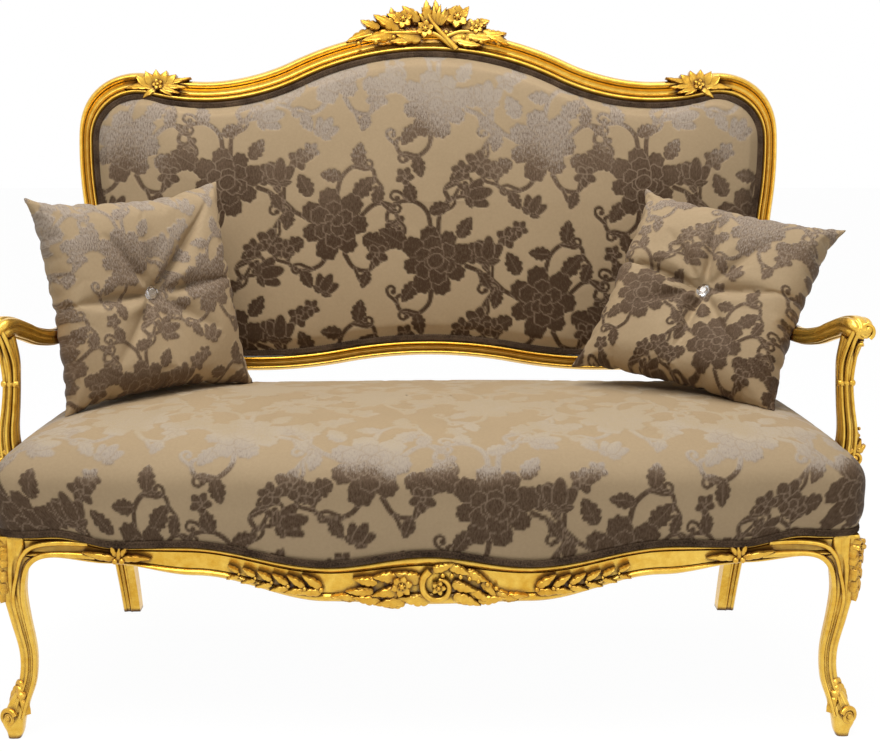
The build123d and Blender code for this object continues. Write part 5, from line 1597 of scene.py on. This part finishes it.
def weave_group():
    """Over-and-under threads along the cloth's own coordinates."""
    group = bpy.data.node_groups.new("thread_weave", "ShaderNodeTree")
    group.interface.new_socket("Place", in_out="INPUT", socket_type="NodeSocketVector")
    group.interface.new_socket("Threads", in_out="INPUT", socket_type="NodeSocketFloat")
    group.interface.new_socket("Height", in_out="OUTPUT", socket_type="NodeSocketFloat")
    given = group.nodes.new("NodeGroupInput")
    given_out = group.nodes.new("NodeGroupOutput")
    axes = add_node(group, "SeparateXYZ", {0: given.outputs["Place"]})
    waves = []
    for axis in ("X", "Y"):
        count = arithmetic(group, "MULTIPLY", axes.outputs[axis], given.outputs["Threads"])
        waves.append(arithmetic(group, "SINE", count))
    group.links.new(arithmetic(group, "MULTIPLY", *waves), given_out.inputs["Height"])
    return group


def use_group(tree, group, inputs):
    """Result of a shared node group."""
    return add_node(tree, "Group", inputs, node_tree=group).outputs[0]


def mixed(tree, amount, first, second):
    """Colour between two others."""
    return add_node(tree, "Mix", {0: amount, 6: first, 7: second}, data_type="RGBA").outputs[2]


def ramp(tree, value, low, high):
    """0 at the low value, 1 at the high one."""
    return add_node(tree, "MapRange", {0: value, 1: low, 2: high}).outputs[0]


def rgb(red, green, blue):
    return (red, green, blue, 1.0)


# Slot, reach of the painted shade in recesses, where it ends, roughness, deep gold, bright gold
GILDING = (
    ("gilded_wood", 0.009, 0.90, 0.25, (0.73, 0.40, 0.038), (0.94, 0.62, 0.115)),
    ("gilded_carving", 0.015, 0.98, 0.27, (0.64, 0.32, 0.028), (0.90, 0.56, 0.090)),
)
# painted shade: colour of the gold where ambient occlusion finds a recess
PAINTED_RECESS_SHADE = (0.15, 0.050, 0.006)
PLAIN_CLOTHS = (                   # slot, darker and lighter thread, threads
    ("braid", (0.030, 0.017, 0.010), (0.150, 0.096, 0.058), 4200.0),
    ("plain_back_cloth", (0.34, 0.25, 0.165), (0.41, 0.31, 0.21), 4200.0),
    ("webbing", (0.26, 0.21, 0.14), (0.34, 0.28, 0.20), 2600.0),
    ("hessian", (0.36, 0.27, 0.15), (0.47, 0.37, 0.23), 2200.0),
    ("stuffing", (0.62, 0.58, 0.50), (0.74, 0.70, 0.62), 1500.0),
    ("black_lining", (0.018, 0.018, 0.018), (0.035, 0.035, 0.035), 5200.0),
)


VELVET_SHEEN_SHADE = (                         # colour of the pile, with painted sheen and shade: toward the viewer 0, pale as painted sheen; standing up 1, dark as painted shade
    (0.00, (0.455, 0.350, 0.222)), (0.30, (0.475, 0.385, 0.280)), (0.52, (0.400, 0.325, 0.255)),
    (0.70, (0.165, 0.108, 0.066)), (1.00, (0.060, 0.032, 0.015)),
)


def gild(cloudy):
    """Gold leaf, with painted shade where the wood is hollow, found by ambient occlusion."""
    for name, recess, open_at, rough, deep, bright in GILDING:
        tree, surface = new_material(name)
        tone = use_group(tree, cloudy, {"Broad": 9.0, "Fine": 90.0})
        leaf = mixed(tree, ramp(tree, tone, 0.35, 0.65), rgb(*deep), rgb(*bright))
        # painted shade in hollows and creases, from ambient occlusion; the gold there also turns less
        # metallic
        hollow = add_node(tree, "AmbientOcclusion", {"Distance": recess}, samples=8)
        shade = ramp(tree, hollow.outputs["AO"], 0.40, open_at)
        colour = mixed(tree, shade, rgb(*PAINTED_RECESS_SHADE), leaf)
        tree.links.new(colour, surface.inputs["Base Color"])
        tree.links.new(ramp(tree, shade, 0.0, 1.15), surface.inputs["Metallic"])
        surface.inputs["Roughness"].default_value = rough
        bump = add_node(tree, "Bump", {"Height": tone, "Strength": 0.12, "Distance": 0.002})
        tree.links.new(bump.outputs[0], surface.inputs["Normal"])


def damask_cloth(cloudy, weave):
    """Velvet motif on a satin ground, from the art kept on the points, with painted sheen and shade from the
    values kept there too.
    """
    tree, surface = new_material("damask")
    pile, line, nap = (
        add_node(tree, "Attribute", attribute_name=label).outputs["Fac"] for label in ("pile", "line", "nap")
    )
    place = add_node(tree, "UVMap", uv_map="cloth").outputs[0]
    tone = use_group(tree, cloudy, {"Broad": 5.0, "Fine": 240.0})
    ground = mixed(tree, ramp(tree, tone, 0.3, 0.7), rgb(0.400, 0.288, 0.166), rgb(0.455, 0.332, 0.196))
    stretch = add_node(tree, "VectorMath", {0: place, 1: (400.0, 150.0, 1.0)}, operation="MULTIPLY")
    grain = {"Vector": stretch.outputs[0], "Scale": 1.0, "Detail": 4.0, "Roughness": 0.65}
    brushed = ramp(tree, add_node(tree, "TexNoise", grain).outputs[0], 0.3, 0.7)
    # painted sheen and shade, with random brush marks of the pile laid over it
    swing = arithmetic(tree, "MULTIPLY_ADD", brushed, 0.26, nap)
    velvet = add_node(tree, "ValToRGB", {"Fac": arithmetic(tree, "SUBTRACT", swing, 0.13, clamp=True)})
    for i, (at, colour) in enumerate(VELVET_SHEEN_SHADE):
        stop = velvet.color_ramp.elements[i] if i < 2 else velvet.color_ramp.elements.new(at)
        stop.position = at
        stop.color = rgb(*colour)
    # petal edges and veins also go from pale to dark with the painted sheen and shade
    pale = mixed(tree, nap, rgb(0.47, 0.37, 0.26), rgb(0.250, 0.172, 0.110))
    motif = mixed(tree, line, velvet.outputs[0], pale)
    tree.links.new(mixed(tree, pile, ground, motif), surface.inputs["Base Color"])
    surface.inputs["Roughness"].default_value = 0.62
    surface.inputs["Sheen Weight"].default_value = 0.04
    surface.inputs["Specular IOR Level"].default_value = 0.12
    threads = use_group(tree, weave, {"Place": place, "Threads": 5200.0})
    bump = add_node(tree, "Bump", {"Height": threads, "Strength": 0.25, "Distance": 0.0004})
    tree.links.new(bump.outputs[0], surface.inputs["Normal"])


def plain_cloths(cloudy, weave):
    """Woven stuffs of one colour."""
    for name, dark, light, threads in PLAIN_CLOTHS:
        tree, surface = new_material(name)
        tone = use_group(tree, cloudy, {"Broad": 30.0, "Fine": 400.0})
        colour = mixed(tree, ramp(tree, tone, 0.35, 0.65), rgb(*dark), rgb(*light))
        tree.links.new(colour, surface.inputs["Base Color"])
        surface.inputs["Roughness"].default_value = 0.85
        surface.inputs["Specular IOR Level"].default_value = 0.12
        place = add_node(tree, "TexCoord").outputs["Object"]
        height = use_group(tree, weave, {"Place": place, "Threads": threads})
        bump = add_node(tree, "Bump", {"Height": height, "Strength": 0.3, "Distance": 0.0006})
        tree.links.new(bump.outputs[0], surface.inputs["Normal"])


def wood_and_glass(cloudy):
    """Bare beech of the inner frame, and the crystal of the buttons."""
    tree, surface = new_material("beech")
    tone = use_group(tree, cloudy, {"Broad": 14.0, "Fine": 160.0})
    colour = mixed(tree, tone, rgb(0.44, 0.29, 0.16), rgb(0.60, 0.44, 0.27))
    tree.links.new(colour, surface.inputs["Base Color"])
    surface.inputs["Roughness"].default_value = 0.6
    tree, surface = new_material("crystal")
    surface.inputs["Base Color"].default_value = rgb(0.97, 0.97, 0.98)
    surface.inputs["Roughness"].default_value = 0.02
    surface.inputs["Transmission Weight"].default_value = 1.0
    surface.inputs["IOR"].default_value = 1.56


def make_materials():
    cloudy, weave = cloudy_group(), weave_group()
    gild(cloudy)
    damask_cloth(cloudy, weave)
    plain_cloths(cloudy, weave)
    wood_and_glass(cloudy)


def dress_nodes():
    """Solids that stay in view take the material of their slot."""
    slots = {part["node"]: part["material_slot"] for part in frame["record"]["subparts"]}
    for node, piece in frame["nodes"].items():
        piece.data.materials.clear()
        piece.data.materials.append(MATERIALS[slots[node]])


# Light, floor and camera

LAMPS = (                          # name, place, aim, size, watts
    ("key", (-0.7, -1.5, 2.8), (0, 0, 0.55), (2.0, 1.3), 36),
    ("fill", (1.9, -2.4, 1.5), (0, 0, 0.5), (1.4, 1.4), 5),
    ("top", (0.2, -0.1, 2.8), (0, 0, 0.5), (2.2, 1.2), 40),
)
FLOOR_REACH = 14.0
FLOOR_GLOW = 1.035                 # strength of the floor's own white
CAMERA_PLACE = (0, -2.5551, 0.9544)
CAMERA_TILT = 8.566                # degrees below the level
CAMERA_PAN = -0.412
LENS = 63.955
LENS_SHIFT = -0.05
SENSOR = 36.0


def lamp(name, place, aim, size, power):
    """Soft box that looks at a place."""
    light = bpy.data.lights.new(name, "AREA")
    light.shape = "RECTANGLE"
    light.size, light.size_y = size
    light.energy = power
    holder = bpy.data.objects.new(name, light)
    holder.location = place
    holder.rotation_euler = (Vector(aim) - Vector(place)).to_track_quat("-Z", "Y").to_euler()
    bpy.context.scene.collection.objects.link(holder)


def seen_rays(tree):
    """1 for rays that show the background: straight, mirrored or through glass."""
    path = add_node(tree, "LightPath").outputs
    straight = arithmetic(tree, "ADD", path["Is Camera Ray"], path["Is Glossy Ray"])
    return arithmetic(tree, "ADD", straight, path["Is Transmission Ray"], clamp=True)


def surround():
    """White to the eye, and a soft grey light on the sofa."""
    world = bpy.data.worlds.new("studio")
    bpy.context.scene.world = world
    world.use_nodes = True
    tree = world.node_tree
    tree.nodes.clear()
    seen = seen_rays(tree)
    soft = add_node(tree, "Background", {"Color": rgb(0.18, 0.18, 0.18), "Strength": 1.0})
    white = add_node(tree, "Background", {"Color": rgb(1, 1, 1), "Strength": 1.0})
    both = add_node(tree, "MixShader", {0: seen, 1: soft.outputs[0], 2: white.outputs[0]})
    add_node(tree, "OutputWorld", {"Surface": both.outputs[0]})


def white_floor():
    """Floor that takes a faint shadow and is otherwise as white as the surround."""
    mesh = bpy.data.meshes.new("studio_floor")
    corners = [(x * FLOOR_REACH, y * FLOOR_REACH, 0) for x, y in ((-1, -1), (1, -1), (1, 1), (-1, 1))]
    mesh.from_pydata(corners, [], [(0, 1, 2, 3)])
    floor = bpy.data.objects.new("studio_floor", mesh)
    bpy.context.scene.collection.objects.link(floor)
    tree, surface = new_material("pale_floor")
    surface.inputs["Base Color"].default_value = rgb(1, 1, 1)
    surface.inputs["Roughness"].default_value = 0.9
    surface.inputs["Specular IOR Level"].default_value = 0.1
    share = arithmetic(tree, "MULTIPLY", seen_rays(tree), 0.94)
    white = add_node(tree, "Emission", {"Color": rgb(1, 1, 1), "Strength": FLOOR_GLOW})
    both = add_node(tree, "MixShader", {0: share, 1: surface.outputs[0], 2: white.outputs[0]})
    out = next(node for node in tree.nodes if node.type == "OUTPUT_MATERIAL")
    tree.links.new(both.outputs[0], out.inputs["Surface"])
    mesh.materials.append(MATERIALS["pale_floor"])


def studio():
    """Light, floor and the camera that was fitted to the photograph."""
    scene = bpy.context.scene
    scene.view_settings.view_transform = "Standard"
    surround()
    for row in LAMPS:
        lamp(*row)
    white_floor()
    lens = bpy.data.cameras.new("camera")
    lens.lens = LENS
    lens.sensor_width = SENSOR
    lens.shift_y = LENS_SHIFT
    camera = bpy.data.objects.new("camera", lens)
    camera.location = CAMERA_PLACE
    camera.rotation_euler = (radians(90 - CAMERA_TILT), 0, radians(CAMERA_PAN))
    scene.collection.objects.link(camera)
    scene.camera = camera


CARVED_WORDS = ("spray", "shell", "leaf", "leaves", "drop")

make_materials()
DAMASK = draw_damask()
dress_nodes()
crest_rail()
back_posts()
back_lower_rail()
seat_rails()
front_legs()
arms()
crest_carving()
shoulder_carvings()
apron_carving()
knee_carvings()
arm_leaves()
seat = surface_of(seat_cover())
back = surface_of(back_cover())
outside_back()
dust_cloth()
seat_braid()
back_braid()
for side, place, turns, shift, painted_sheen_shades, creases in PILLOWS:
    cover = stuffed(*pillow_shape(creases), near_tuft)
    pillow(side, place, turns, shift, painted_sheen_shades, cover, seat, back)
    crystal(side, place, turns)
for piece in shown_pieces():
    if piece.type == "MESH" and not piece.data.materials:
        carved = any(word in piece.name for word in CARVED_WORDS)
        piece.data.materials.append(MATERIALS["gilded_carving" if carved else "gilded_wood"])
studio()
